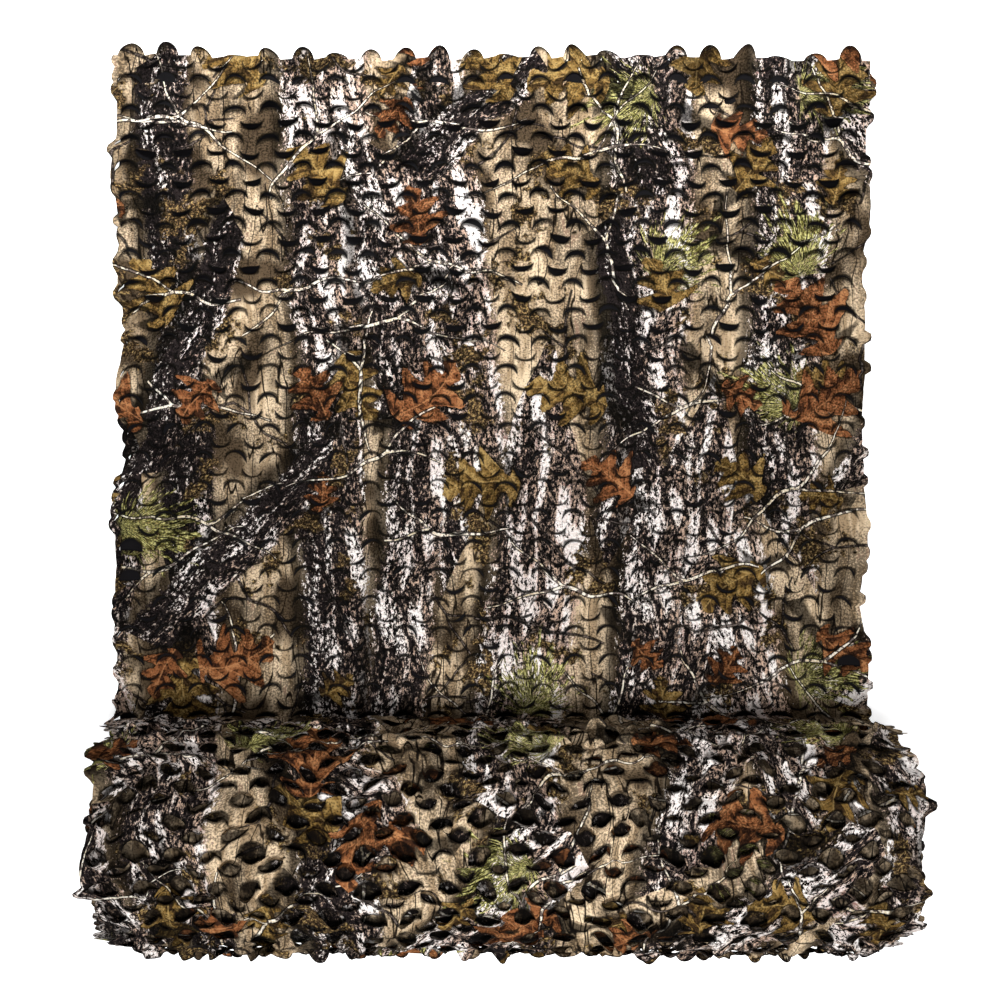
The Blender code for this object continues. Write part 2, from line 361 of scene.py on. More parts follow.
@dataclass(frozen=True)
class EdgeStray:
    """How far the two side edges of the laid cloth stray outwards, by distance from the foot, in metres."""

    distance: tuple[float, ...] = (
        0.0, 0.10, 0.20, 0.31, 0.40, 0.47, 0.53, 0.58, 0.66, 0.74, 0.83, 0.95, 1.04, 1.13, 1.22, 1.30,
    )
    left: tuple[float, ...] = (
        0.004, 0.004, 0.007, 0.007, 0.006, -0.012, -0.018, 0.004, 0.0, -0.013, -0.004, 0.003, 0.014,
        0.002, 0.010, -0.002,
    )
    right: tuple[float, ...] = (
        0.006, 0.002, -0.010, 0.0, 0.002, -0.002, -0.010, -0.008, 0.004, -0.004, -0.008, 0.008, 0.002,
        0.004, 0.006, 0.010,
    )

    def at(self, across: Array, distance: Array) -> Array:
        """Outward stray of the nearer side edge.

        Args:
            across: Place across the cloth, -0.5 to 0.5.
            distance: Metres from the foot.

        Returns:
            Metres outwards.
        """
        left = np.interp(distance, self.distance, self.left)
        right = np.interp(distance, self.distance, self.right)
        return np.where(across < 0, left, right)


@dataclass
class Drape:
    """Puts points of the flat cloth in their place on the floor and the roll. Its sizes are in metres."""

    roll: Roll
    path: ClothPath
    stray: EdgeStray = field(default_factory=EdgeStray)
    loose_laid: float = 0.0030
    loose_far: float = 0.0022
    loose_rolled: float = 0.0062
    ground_wave: float = 0.0024
    end_bow: float = 0.004
    crumple_laid: float = 0.0013
    crumple_far: float = 0.0034
    swell_edge: float = 0.004

    def place(self, x: Array, distance: Array, tangent_at: Array | None = None) -> Array:
        """Places points of the cloth.

        Args:
            x: Metres across from the cloth's middle line.
            distance: Metres along from the foot.
            tangent_at: Where to read the direction of the cloth, if not at distance.

        Returns:
            For each point its place, its unit direction along the cloth and its unit normal, as one array
            of shape (3, points, 3).
        """
        roll = self.roll
        rolled_up = smooth_step(-0.03, -0.20, distance)
        loose = self.loose_laid + self.loose_far * smooth_step(0.5, 1.0, distance)
        loose = loose + self.loose_rolled * rolled_up
        loose *= smooth_step(0.0, 0.12, roll.fold_start - distance) * smooth_step(-1.42, -1.30, distance)
        slow = np.sin(29 * x + 1.9 * np.sin(11 * distance))
        shift = loose * (0.75 * slow + 0.45 * np.sin(67 * x - 41 * distance))
        pulled_x = x + loose * np.sin(27 * distance + 1.7 * np.sin(13 * x))
        tangent = (distance if tangent_at is None else tangent_at) + shift
        y, z, _, _ = self.path.at(distance + shift)
        _, _, slope_y, slope_z = self.path.at(tangent)
        across = x / LATTICE.width
        rolled = smooth_step(0.02, 0.20, z)
        end = smooth_step(0.30, 0.5, np.abs(across)) * np.sign(across)
        stray = self.stray.at(across, distance) * (1 - smooth_step(0.05, 0.15, z))
        drawn = np.where(across < 0, *roll.front_drawn_in) * smooth_step(-0.02, -roll.half_depth, y)
        tucked = 2 * across * roll.end_rounding * smooth_step(0.10, 0.19, z)
        placed_x = pulled_x + end * (stray - drawn) - tucked + roll.sidestep * rolled
        on_ground = smooth_step(0.02, 0.10, distance) * smooth_step(0.0, 0.10, roll.fold_start - distance)
        far = smooth_step(0.55, 1.0, distance)
        hills = 1 + np.sin(x / 0.071 + 5 * y) * np.sin(y / 0.093 + 3 * x)
        wave = (self.ground_wave + self.ground_wave * far) * on_ground * hills
        bowed = self.end_bow * np.sin(6 * x) - self.end_bow * across
        bowed = bowed + 0.0026 * np.sin(37 * x + 0.6) + 0.0016 * np.sin(91 * x)
        wander = bowed * smooth_step(1.16, 1.29, distance)
        crumple = self.crumple(x, distance)
        lay = crumple * (self.crumple_laid + self.crumple_far * far) * on_ground
        lay += (roll.puffed + roll.unevenness * crumple) * smooth_step(0.03, 0.09, z) * (distance < 0)
        swell = roll.swell * np.sin(11 * across + 9 * z) * np.cos(5 * across - 14 * y)
        front = smooth_step(roll.half_depth - self.swell_edge, roll.half_depth - 0.03, y)
        swell *= smooth_step(0.03, 0.09, z) * front
        rounding = roll.end_rounding * smooth_step(0.46, 0.5, np.abs(across)) * smooth_step(0.0, 0.06, z)
        outwards = (swell - rounding) * (distance < 0) + lay
        zero = np.zeros_like(x)
        point = np.stack([placed_x, y + wander - slope_z * outwards, z + wave + slope_y * outwards], axis=1)
        along = np.stack([zero, slope_y, slope_z], axis=1)
        normal = np.stack([zero, -slope_z, slope_y], axis=1)
        return np.stack([point, along, normal])

    @staticmethod
    def crumple(x: Array, distance: Array) -> Array:
        """Uneven relief of loosely lying net, from -1 to 1, by place on the cloth."""
        hills = np.sin(71 * x + 2.1 * np.sin(33 * distance)) * np.sin(64 * distance + 1.7 * np.sin(41 * x))
        slants = np.sin(58 * x - 67 * distance + 1.3) + np.sin(49 * x + 83 * distance + 2.2 * np.sin(19 * x))
        return 0.42 * hills + 0.29 * slants


@dataclass
class CutCloth:
    """A stretch of the leaf-cut cloth: its mesh is cut flat, and each leaf is then bent on its hinge.

    Its lines are the first and last lattice lines, counted from the roll's foot, and its seed is that of the
    small differences between leaves.
    """

    drape: Drape
    name: str
    lines: tuple[int, int]
    seed: int
    thickness: float = 0.0007
    lowest: float = 0.0012
    far_from_cuts: float = 0.012
    tabs: int = 400
    tab_share: float = 0.45
    tab_depth: float = 0.026
    edge_leaves_from: float = 0.69
    folded_back: float = 2.0
    random: np.random.Generator = field(init=False)
    tab_sizes: Array = field(init=False)

    def __post_init__(self) -> None:
        """Draws the sizes of the tabs at the side edges."""
        self.random = np.random.default_rng(self.seed)
        sizes = self.random.uniform(0.35, 1.0, (2, self.tabs))
        large = self.random.uniform(0, 1, sizes.shape) < self.tab_share
        self.tab_sizes = np.where(large, sizes, 0.12 * sizes)

    def cut_mesh(self) -> bmesh.types.BMesh:
        """Makes the flat lattice and splits it along every half-moon, leaving the hinges whole.

        Returns:
            The mesh, in columns and lines of the lattice.
        """
        bm = bmesh.new()
        columns, rows = LATTICE.columns, self.lines[1] - self.lines[0]
        bmesh.ops.create_grid(bm, x_segments=columns, y_segments=rows, size=0.5)
        for vert in bm.verts:
            vert.co.x = round((vert.co.x + 0.5) * columns)
            vert.co.y = round((vert.co.y + 0.5) * rows) + self.lines[0]
        cuts = [edge for edge in bm.edges if not edge.is_boundary and self.on_cut(edge)]
        bmesh.ops.split_edges(bm, edges=cuts)
        return bm

    def on_cut(self, edge: bmesh.types.BMEdge) -> bool:
        """Whether a lattice edge lies on a half-moon cut.

        Args:
            edge: The edge, in columns and lines of the lattice.

        Returns:
            True on a cut.
        """
        start, end = (vert.co for vert in edge.verts)
        column, middle = int(min(start.x, end.x)), (start.x + end.x) / 2
        line = int(min(start.y, end.y) + LATTICE.first_line) % LATTICE.cells
        for row in LEAF_ROWS:
            if not row.whole(row.number_at(middle)):
                continue
            if start.x == end.x:
                side = (column - row.first_column) % LATTICE.cells in (0, LEAF_COLUMNS)
                if side and row.spans_line(line):
                    return True
            else:
                tip = (row.hinge_line + row.tip.value * row.lines) % LATTICE.cells
                if line == tip and row.spans_column(column):
                    return True
        return False

    def leaf_of(self, bm: bmesh.types.BMesh) -> Array:
        """Which row of LEAF_ROWS each vertex's leaf is in.

        Args:
            bm: The cut lattice.

        Returns:
            Number of the row for each vertex, or -1 on the cloth between the leaves.
        """
        kind = np.full(len(bm.verts), -1)
        bm.verts.index_update()
        for face in bm.faces:
            corners = [vert.co for vert in face.verts]
            column = int(min(corner.x for corner in corners))
            line = int(min(corner.y for corner in corners) + LATTICE.first_line) % LATTICE.cells
            for number, row in enumerate(LEAF_ROWS):
                within = row.spans_column(column) and row.spans_line(line)
                if within and row.whole(row.number_at(column + 0.5)):
                    for vert in face.verts:
                        kind[vert.index] = number
        return kind

    def edge_tabs(self, x: Array, distance: Array, end_height: Array) -> Array:
        """Rounded tabs that the cut leaves make of the side edges.

        Args:
            x: Metres across from the middle line.
            distance: Metres from the foot.
            end_height: Height of each point, since the roll's ends are more ragged.

        Returns:
            Metres outwards along X.
        """
        pitch = LATTICE.along / 2
        number = np.rint(distance / pitch).astype(int)
        size = self.tab_sizes[(x > 0).astype(int), number % self.tabs]
        bump = np.sqrt(np.clip(1 - ((distance - number * pitch) / (0.54 * pitch)) ** 2, 0, 1))
        height = 0.015 + 0.011 * smooth_step(0.02, 0.06, end_height)
        near = smooth_step(LATTICE.width / 2 - self.tab_depth, LATTICE.width / 2, np.abs(x))
        return np.sign(x) * near * (bump * size * height)

    def bowing(self, distance: Array) -> Array:
        """How far the hinge lines bow, in metres, by distance from the foot."""
        return 0.0 * distance

    def poses(self, kind: int, x: Array, distance: Array) -> tuple[Array, ...]:
        """How each leaf hangs. The stretches of cloth give this.

        Args:
            kind: Row of LEAF_ROWS.
            x: Metres across of each leaf's hinge.
            distance: Metres from the foot of each leaf's hinge.

        Returns:
            Lift and curl in radians, drop and twist in metres, and a factor on the leaf's size.
        """
        raise NotImplementedError

    def build(self) -> bpy.types.Object:
        """Makes the piece: cuts the flat cloth, places it, bends its leaves and gives it both its sides.

        Returns:
            The piece.
        """
        bm = self.cut_mesh()
        kind = self.leaf_of(bm)
        column = np.array([vert.co.x for vert in bm.verts])
        line = np.array([vert.co.y for vert in bm.verts])
        flat_x = (column - LATTICE.columns / 2) * LATTICE.column
        flat_y = line * LATTICE.line
        x, y = flat_x.copy(), flat_y.copy()
        pattern_line = line + LATTICE.first_line
        # The distance to the nearest cut, stored per vertex, drives the painted shade along the cuts in the
        # printed face.
        cut_shade_distance = np.full(x.size, self.far_from_cuts)
        for row in LEAF_ROWS:
            s, t, across, _ = row.shares(column, pattern_line)
            pull_x, pull_y = row.pull(s, t)
            cut = row.whole(across)
            x += pull_x * cut
            y += row.tip.value * (pull_y - row.bow(s, t) * self.bowing(flat_y)) * cut
            off = np.abs(np.maximum(np.abs(s), t) - 1) * row.half_width + 0.0035 * np.clip(1 - t, 0, 1)
            # Painted shadow of the cloth's edge on the sunk tips of far-pointing leaves: the distance is
            # shrunk there so that the painted cut shade reaches further in, more towards the far end.
            if row.tip is Tip.FAR:
                shaded = 0.25 + 0.40 * smooth_step(0.45, 0.95, flat_y)
                off = np.where(np.maximum(np.abs(s), t) < 0.99, off * (1 - shaded), off)
            cut_shade_distance = np.where(cut & (t > -0.01), np.minimum(cut_shade_distance, off), cut_shade_distance)
            cut_shade_distance[(np.abs(t) < 0.01) & (np.abs(s) < 0.9)] = self.far_from_cuts
        points, _, _ = self.drape.place(x, y)
        points[:, 0] += self.edge_tabs(x, y, points[:, 2])
        for number, row in enumerate(LEAF_ROWS):
            points = self.bend_leaves(points, row, number, kind, column, pattern_line)
        points[:, 2] = np.maximum(points[:, 2], self.lowest)
        points += ROLL_CENTRE
        move_cloth(bm, points, np.stack([x, y], axis=1))
        # Kept for the printed face's painted shade along the cuts.
        nearness = bm.verts.layers.float.new("cut_shade_distance")
        for vert in bm.verts:
            vert[nearness] = cut_shade_distance[vert.index]
        return finished_cloth(bm, self.name, self.thickness)

    def bend_leaves(
        self,
        points: Array,
        row: LeafRow,
        number: int,
        kind: Array,
        column: Array,
        pattern_line: Array,
    ) -> Array:
        """Bends the leaves of one row on their hinges.

        Args:
            points: Places of all vertices.
            row: The row of leaves.
            number: Its number in LEAF_ROWS.
            kind: Row number of each vertex's leaf, or -1.
            column: Lattice column of each vertex.
            pattern_line: Lattice line of each vertex, counted from a repeat's start.

        Returns:
            The places with these leaves bent.
        """
        s, t, across, along = row.shares(column, pattern_line)
        inside = (kind == number) & (t > 0.01)
        s, t, across, along = s[inside], t[inside], across[inside], along[inside]
        hinge_line = along * LATTICE.cells + row.hinge_line - LATTICE.first_line
        middle = across * LATTICE.cells + row.first_column + LEAF_COLUMNS / 2 - LATTICE.columns / 2
        hinge_x, hinge_y = middle * LATTICE.column, hinge_line * LATTICE.line
        leaves, which = np.unique(np.stack([hinge_x, hinge_y]), axis=1, return_inverse=True)
        pose = self.poses(number, leaves[0], leaves[1])
        at_fold = np.abs(leaves[1] - self.drape.roll.fold_start) < 0.01
        lean = self.random.normal(0, 0.13, leaves.shape[1]) * np.where(at_fold, 1.5, 1.0)
        lift, curl, drop, twist, size, lean = (part[which.reshape(-1)] for part in (*pose, lean))
        side, out = row.rounded(s, t)
        side, out = side * (0.965 - np.minimum(0.7 * np.abs(lean), 0.20) * t), out * 0.955 * size
        curl = np.where(np.abs(curl) < 0.02, 0.02, curl)
        reach = row.length * size
        turned = lift + curl * out / reach
        warp = twist * side * t
        ahead = reach / curl * (np.sin(turned) - np.sin(lift)) - warp * np.sin(turned)
        up = reach / curl * (np.cos(lift) - np.cos(turned)) + warp * np.cos(turned)
        up = up - drop * np.clip(2 * t, 0, 1)
        hinge_y = hinge_y - row.tip.value * row.bow(s, 0 * t) * self.bowing(hinge_y)
        far = np.minimum(hinge_y, self.drape.roll.fold_start - 0.004)
        root, direction, normal = self.drape.place(hinge_x + side, hinge_y, far)
        root[:, 0] += self.edge_tabs(hinge_x + side, hinge_y, root[:, 2]) + lean * out
        points[inside] = root + direction * (row.tip.value * ahead)[:, None] + normal * up[:, None]
        return points


@dataclass
class LaidCloth(CutCloth):
    """The cloth laid out on the floor, from its turned-under far end to the roll's foot."""

    name: str = "laid_cloth"
    lines: tuple[int, int] = (0, LAID_LINES)
    seed: int = 11
    wild_share: float = 0.22
    wild_lift: float = 0.45
    open_share: float = 0.12
    open_share_far: float = 0.74
    open_up_to: float = 1.22
    fold_sizes: tuple[float, ...] = (0.15, 0.4, 0.55, 0.7, 0.8, 0.92, 1.08)

    def bowing(self, distance: Array) -> Array:
        """Hinge lines bow a little towards the far end, and not on its fold."""
        return 0.0020 * smooth_step(0.5, 1.0, distance) * smooth_step(1.24, 1.18, distance)

    def poses(self, kind: int, x: Array, distance: Array) -> tuple[Array, ...]:
        """Leaves lie nearly flat near the roll and lift more towards the far end.

        Args:
            kind: Row of LEAF_ROWS.
            x: Metres across of each leaf's hinge.
            distance: Metres from the foot of each leaf's hinge.

        Returns:
            Lift, curl, drop, twist and size, as in CutCloth.
        """
        far = smooth_step(0.50, 0.98, distance + 0.10 * np.sin(5 * x + 2))
        roll = self.random.uniform(0, 1, distance.size)
        spread = self.random.normal(0, 1, (4, distance.size))
        wild = (self.random.uniform(0, 1, distance.size) < self.wild_share * far).astype(float)
        if LEAF_ROWS[kind].tip is Tip.FAR:
            lift = -0.04 + 0.05 * spread[0] + far * (0.02 + 0.12 * spread[1]) + self.wild_lift * wild
            curl = -0.10 + 0.12 * spread[2] + self.wild_lift * wild
            drop = 0.0014 + (0.0012 + 0.0026 * (roll < 0.4)) * far
        else:
            opened = (roll < self.open_share + self.open_share_far * far).astype(float)
            opened = opened * (distance < self.open_up_to)
            width = self.random.beta(1.2, 2.4, distance.size)
            lift = 0.08 + 0.05 * np.abs(spread[0]) + opened * (0.08 + 0.62 * width)
            curl = 0.12 + 0.12 * spread[2] + opened * (0.10 + 0.22 * np.abs(spread[2]))
            drop = 0.0 * lift
        size = 1 + 0.05 * spread[3]
        if LEAF_ROWS[kind].tip is Tip.FAR:
            size -= (0.04 + 0.20 * far * (1 - wild)) * roll
        else:
            size -= opened * (0.10 + 0.22 * width)
        turned_back = (np.abs(x) > self.edge_leaves_from) & (self.random.uniform(0, 1, x.size) < 0.10)
        lift = np.where(turned_back, self.folded_back, lift)
        at_fold = np.abs(distance - self.drape.roll.fold_start) < 0.01
        if LEAF_ROWS[kind].tip is Tip.FAR:
            size = np.where(at_fold, self.random.choice(self.fold_sizes, distance.size), size)
            lift = np.where(at_fold, 0.10 + 0.25 * roll, lift)
            curl = np.where(at_fold, 0.10, curl)
            drop = np.where(at_fold, 0.0, drop)
        return lift, curl, drop, 0.10 * spread[1], size


@dataclass
class OuterTurn(CutCloth):
    """The hanging turn from the foot up the roll's back, and the roll's outer turn.

    Its leaves are in one of three states: nearly shut, half open and wide open. Low on the front most stand.
    """

    name: str = "outer_turn"
    lines: tuple[int, int] = (-TURN_LINES, 0)
    seed: int = 23
    state_chances: tuple[float, ...] = (0.14, 0.30, 0.56)
    state_lifts: tuple[float, ...] = (0.10, 0.60, 1.25)
    state_spreads: tuple[float, ...] = (0.08, 0.18, 0.22)
    state_curls: tuple[float, ...] = (0.05, 0.30, 0.45)
    low_front: tuple[float, float] = (0.085, 0.175)
    standing_share: float = 0.72

    def bowing(self, distance: Array) -> Array:
        """Hinge lines bow all round the roll, where the loose cloth draws its cuts open."""
        return 0.0085 * smooth_step(-0.10, -0.22, distance) * smooth_step(-1.40, -1.34, distance)

    def poses(self, kind: int, x: Array, distance: Array) -> tuple[Array, ...]:
        """Leaves stand well open all round the roll, and less where it rests.

        Args:
            kind: Row of LEAF_ROWS.
            x: Metres across of each leaf's hinge.
            distance: Metres from the foot of each leaf's hinge.

        Returns:
            Lift, curl, drop, twist and size, as in CutCloth.
        """
        y, z, slope_y, slope_z = self.drape.path.at(distance)
        free = smooth_step(0.015, 0.07, z) * (1 - 0.8 * smooth_step(-0.22, -0.16, distance))
        spread = self.random.normal(0, 1, (4, distance.size))
        state = self.random.choice(3, distance.size, p=self.state_chances)
        lift = np.take(self.state_lifts, state) + np.take(self.state_spreads, state) * spread[0]
        curl = np.take(self.state_curls, state) + 0.22 * spread[1]
        faces_up = math.pi / 2 - LEAF_ROWS[kind].tip.value * np.arctan2(slope_z, slope_y)
        lift = np.minimum(lift, np.clip(0.92 * faces_up - 0.5 * curl, 0.10, 1.42))
        turned_back = (np.abs(x) > self.edge_leaves_from) & (self.random.uniform(0, 1, x.size) < 0.08)
        lift = np.where(turned_back, self.folded_back, lift)
        low, high = self.low_front
        in_front = (y < -0.85 * self.drape.roll.half_depth) & (z > low) & (z < high)
        stands = in_front & (self.random.uniform(0, 1, x.size) < self.standing_share)
        lift = np.where(stands, 1.20 + 0.16 * spread[0], lift)
        curl = np.where(stands, 0.15 + 0.10 * spread[1], curl)
        twist = 0.32 * spread[2] * free
        return free * lift, free * curl, 0.0006 + 0 * lift, twist, 1 + 0.06 * spread[3]


def move_cloth(bm: bmesh.types.BMesh, points: Array, on_print: Array) -> None:
    """Moves a flat mesh of cloth to its place and lays the print on it.

    Args:
        bm: The mesh. Its vertices are numbered in the order of the arrays.
        points: New place of each vertex.
        on_print: Where each vertex is on the print, in metres.
    """
    print_place = bm.loops.layers.uv.new("cloth")
    bm.verts.index_update()
    for vert in bm.verts:
        vert.co = points[vert.index]
    for face in bm.faces:
        face.smooth = True
        for loop in face.loops:
            loop[print_place].uv = on_print[loop.vert.index]


def finished_cloth(bm: bmesh.types.BMesh, name: str, thickness: float) -> bpy.types.Object:
    """Makes an object of a cloth's mesh, with its thickness and its bare back.

    Args:
        bm: The mesh of the cloth's printed side. It is freed.
        name: Name of the piece.
        thickness: Thickness of the cloth, in metres.

    Returns:
        The piece, with the thickness applied to its mesh.
    """
    mesh = bpy.data.meshes.new(name)
    bm.to_mesh(mesh)
    bm.free()
    piece = bpy.data.objects.new(name, mesh)
    bpy.context.scene.collection.objects.link(piece)
    solidify = piece.modifiers.new("thickness", "SOLIDIFY")
    solidify.thickness = thickness
    solidify.offset = -1
    solidify.material_offset = 1
    solidify.material_offset_rim = 1
    graph = bpy.context.evaluated_depsgraph_get()
    piece.data = bpy.data.meshes.new_from_object(piece.evaluated_get(graph))
    piece.modifiers.clear()
    bpy.data.meshes.remove(mesh)
    piece.data.name = name
    piece.data.set_sharp_from_angle(angle=math.radians(55))
    return piece


@dataclass
class WoundTurns:
    """The inner turns of the roll, which show at its ends and through the outer turn's openings."""

    roll: Roll
    end_columns: int = 4
    middle_columns: int = 8
    end_width: float = 0.034
    row_step: float = 0.0080
    tab_rows: int = 4
    thickness: float = 0.0024
    tab_reach: float = 0.022
    tab_loose: float = 0.0022
    lowest: float = 0.0030
    random: np.random.Generator = field(default_factory=lambda: np.random.default_rng(41))

    @property
    def length(self) -> float:
        """Length of the sheet, along its spiral."""
        return self.roll.wound_path().distance[-1]

    def build(self) -> bpy.types.Object:
        """Winds the sheet inwards, with ragged ends and uneven turns.

        Returns:
            The piece.
        """
        path = self.roll.wound_path()
        length = self.length
        rows = int(length / self.row_step)
        half = LATTICE.width / 2
        ends = np.linspace(0, self.end_width, self.end_columns + 1)
        middle = np.linspace(-half + self.end_width, half - self.end_width, self.middle_columns + 1)[1:-1]
        stations = np.concatenate([-half + ends, middle, (half - ends)[::-1]])
        bm = bmesh.new()
        bmesh.ops.create_grid(bm, x_segments=stations.size - 1, y_segments=rows, size=0.5)
        column = np.array([round((vert.co.x + 0.5) * (stations.size - 1)) for vert in bm.verts])
        row = np.array([round((vert.co.y + 0.5) * rows) for vert in bm.verts])
        x, distance = stations[column], row * (length / rows)
        drape = Drape(self.roll, path)
        points, _, _ = drape.place(x, -distance - 1e-6)
        y, z, slope_y, slope_z = path.at(distance)
        outwards = np.stack([0 * y, slope_z, -slope_y], axis=1)
        points[:, 1], points[:, 2] = y, z
        near_end = smooth_step(half - self.end_width, half, np.abs(x))
        tab, within = np.divmod(row + 0.0, self.tab_rows)
        tab = tab.astype(int)
        rounded = np.sqrt(np.clip(1 - (within / self.tab_rows * 2 - 1) ** 2, 0, 1))
        reach = self.random.uniform(0.0, self.tab_reach, (2, tab.max() + 1))[(x > 0).astype(int), tab]
        points[:, 0] += np.sign(x) * near_end * (reach * rounded - 0.014)
        loose = self.random.uniform(-self.tab_loose, self.tab_loose, (stations.size, tab.max() + 1))
        loose = loose[column, tab]
        wide_waves = 0.0012 * np.sin(row * 0.45 + 7 * x)
        points -= outwards * (loose * near_end + wide_waves + 0.004 * near_end)[:, None]
        points[:, 2] = np.maximum(points[:, 2], self.lowest)
        points += ROLL_CENTRE
        move_cloth(bm, points, np.stack([x, OUTER_END - distance], axis=1))
        bmesh.ops.reverse_faces(bm, faces=bm.faces)
        return finished_cloth(bm, "wound_turns", self.thickness)


@dataclass
class UnderLayer:
    """The cloth that runs back on the floor below the laid part, shown dark through its open cuts by the
    painted shade of the face that main gives it.
    """

    roll: Roll
    inset: float = 0.006
    start: float = 0.060
    far_gap: float = 0.006
    cells: tuple[int, int] = (44, 40)
    thickness: float = 0.0006

    @property
    def end(self) -> float:
        """Where the sheet ends under the far end, from the roll's middle."""
        roll = self.roll
        return roll.half_depth + roll.back_offset + roll.foot_curve + (roll.fold_start - self.far_gap)

    @property
    def flat(self) -> tuple[float, float]:
        """Width and length of the sheet."""
        return LATTICE.width - 2 * self.inset, self.end - self.start

    def build(self) -> bpy.types.Object:
        """Lays the plain sheet on the floor, slightly narrower than the cloth above it.

        Returns:
            The piece.
        """
        end, (width, length) = self.end, self.flat
        edge = EdgeStray()
        bm = bmesh.new()
        bmesh.ops.create_grid(bm, x_segments=self.cells[0], y_segments=self.cells[1], size=0.5)
        print_place = bm.loops.layers.uv.new("cloth")
        for vert in bm.verts:
            x, y = vert.co.x * width, self.start + (vert.co.y + 0.5) * length
            out = float(edge.at(vert.co.x, y - end + self.roll.fold_start))
            near_edge = math.copysign(max(0.0, abs(vert.co.x) - 0.45) * 20, x)
            stray = (out + 0.003 * math.sin(y / 0.031)) * near_edge
            over_end = smooth_step(end - 0.085, end - 0.064, y)
            vert.co = (x + stray, y, 0.0009 + 0.0013 * over_end)
        for face in bm.faces:
            face.smooth = True
            for loop in face.loops:
                loop[print_place].uv = (loop.vert.co.x, 2.9 - loop.vert.co.y)
        bmesh.ops.translate(bm, verts=bm.verts, vec=tuple(ROLL_CENTRE))
        return finished_cloth(bm, "under_layer", self.thickness)


# ---------------------------------------------------------------- shader nodes


class NodeBench:
    """Short calls that add nodes to one tree and join them. A value may be a socket or a number."""

    def __init__(self, tree: bpy.types.NodeTree) -> None:
        """Keeps the tree that is worked on."""
        self.tree = tree

    def add(self, kind: str, **settings: object) -> bpy.types.Node:
        """Adds a node and sets its settings.

        Args:
            kind: Type of the node, without the ShaderNode before it.
            **settings: Its settings by name.

        Returns:
            The node.
        """
        node = self.tree.nodes.new("ShaderNode" + kind)
        for name, value in settings.items():
            setattr(node, name, value)
        return node

    def feed(self, socket: Socket, value: object) -> None:
        """Joins a socket to an input, or sets its number."""
        if isinstance(value, Socket):
            self.tree.links.new(value, socket)
        elif value is not None:
            socket.default_value = value

    def math(self, operation: str, *values: object, clamp: bool = False) -> Socket:
        """Result of a Math node."""
        node = self.add("Math", operation=operation, use_clamp=clamp)
        for socket, value in zip(node.inputs, values):
            self.feed(socket, value)
        return node.outputs[0]

    def plus(self, value: object, more: object) -> Socket:
        """Sum of two values."""
        return self.math("ADD", value, more)

    def minus(self, value: object, less: object, clamp: bool = False) -> Socket:
        """Difference of two values."""
        return self.math("SUBTRACT", value, less, clamp=clamp)

    def times(self, value: object, factor: object) -> Socket:
        """Product of two values."""
        return self.math("MULTIPLY", value, factor)

    def over(self, value: object, divisor: object) -> Socket:
        """Quotient of two values."""
        return self.math("DIVIDE", value, divisor)

    def scaled(self, value: object, factor: object, more: object, clamp: bool = False) -> Socket:
        """A value times a factor, and something more."""
        return self.math("MULTIPLY_ADD", value, factor, more, clamp=clamp)

    def size(self, value: object) -> Socket:
        """A value without its sign."""
        return self.math("ABSOLUTE", value)

    def vector(self, operation: str, *values: object) -> Socket:
        """Result of a Vector Math node."""
        node = self.add("VectorMath", operation=operation)
        for socket, value in zip(node.inputs, values):
            self.feed(socket, value)
        return node.outputs[0]

    def split(self, vector: Socket) -> tuple[Socket, ...]:
        """The three parts of a vector."""
        node = self.add("SeparateXYZ")
        self.feed(node.inputs[0], vector)
        return tuple(node.outputs)

    def joined(self, x: object, y: object, z: object = 0.0) -> Socket:
        """A vector of three values."""
        node = self.add("CombineXYZ")
        for socket, value in zip(node.inputs, (x, y, z)):
            self.feed(socket, value)
        return node.outputs[0]

    def noise(self, vector: object, scale: float, detail: float = 2.0, rough: float = 0.5) -> Socket:
        """Even noise from 0 to 1 in the plane of the cloth."""
        node = self.add("TexNoise", noise_dimensions="2D")
        self.feed(node.inputs["Vector"], vector)
        node.inputs["Scale"].default_value = scale
        node.inputs["Detail"].default_value = detail
        node.inputs["Roughness"].default_value = rough
        return node.outputs[0]

    def between(self, value: object, low: object, high: object) -> Socket:
        """0 where value is under low, 1 over high, and soft between."""
        node = self.add("MapRange", interpolation_type="SMOOTHSTEP", clamp=True)
        for socket, part in zip(node.inputs, (value, low, high, 0.0, 1.0)):
            self.feed(socket, part)
        return node.outputs[0]

    def mix(self, factor: object, below: object, above: object, blend: str = "MIX") -> Socket:
        """Mixes two colours."""
        node = self.add("Mix", data_type="RGBA", blend_type=blend, clamp_factor=True)
        self.feed(node.inputs[0], factor)
        self.feed(node.inputs[6], below)
        self.feed(node.inputs[7], above)
        return node.outputs[2]

    def fade(self, value: object, low: float, high: float, below: object, above: object) -> Socket:
        """Fades from one colour to another while value goes from low to high."""
        return self.mix(self.between(value, low, high), below, above)

    def group(self, tree: bpy.types.NodeTree, **values: object) -> bpy.types.Node:
        """Places a node group and feeds its inputs by name."""
        node = self.add("Group", node_tree=tree)
        for name, value in values.items():
            self.feed(node.inputs[name.replace("_", " ")], value)
        return node


def new_group(name: str, inputs: dict[str, str], outputs: dict[str, str]) -> tuple[NodeBench, dict, dict]:
    """Starts a node group.

    Args:
        name: Name of the group.
        inputs: Socket type of each input, by name.
        outputs: Socket type of each output, by name.

    Returns:
        A bench on the group's tree, its inputs' sockets by name, and its outputs' sockets by name.
    """
    tree = bpy.data.node_groups.new(name, "ShaderNodeTree")
    for label, kind in inputs.items():
        tree.interface.new_socket(label, in_out="INPUT", socket_type="NodeSocket" + kind)
    for label, kind in outputs.items():
        tree.interface.new_socket(label, in_out="OUTPUT", socket_type="NodeSocket" + kind)
    bench = NodeBench(tree)
    start, end = tree.nodes.new("NodeGroupInput"), tree.nodes.new("NodeGroupOutput")
    given = {label: start.outputs[label] for label in inputs}
    wanted = {label: end.inputs[label] for label in outputs}
    return bench, given, wanted


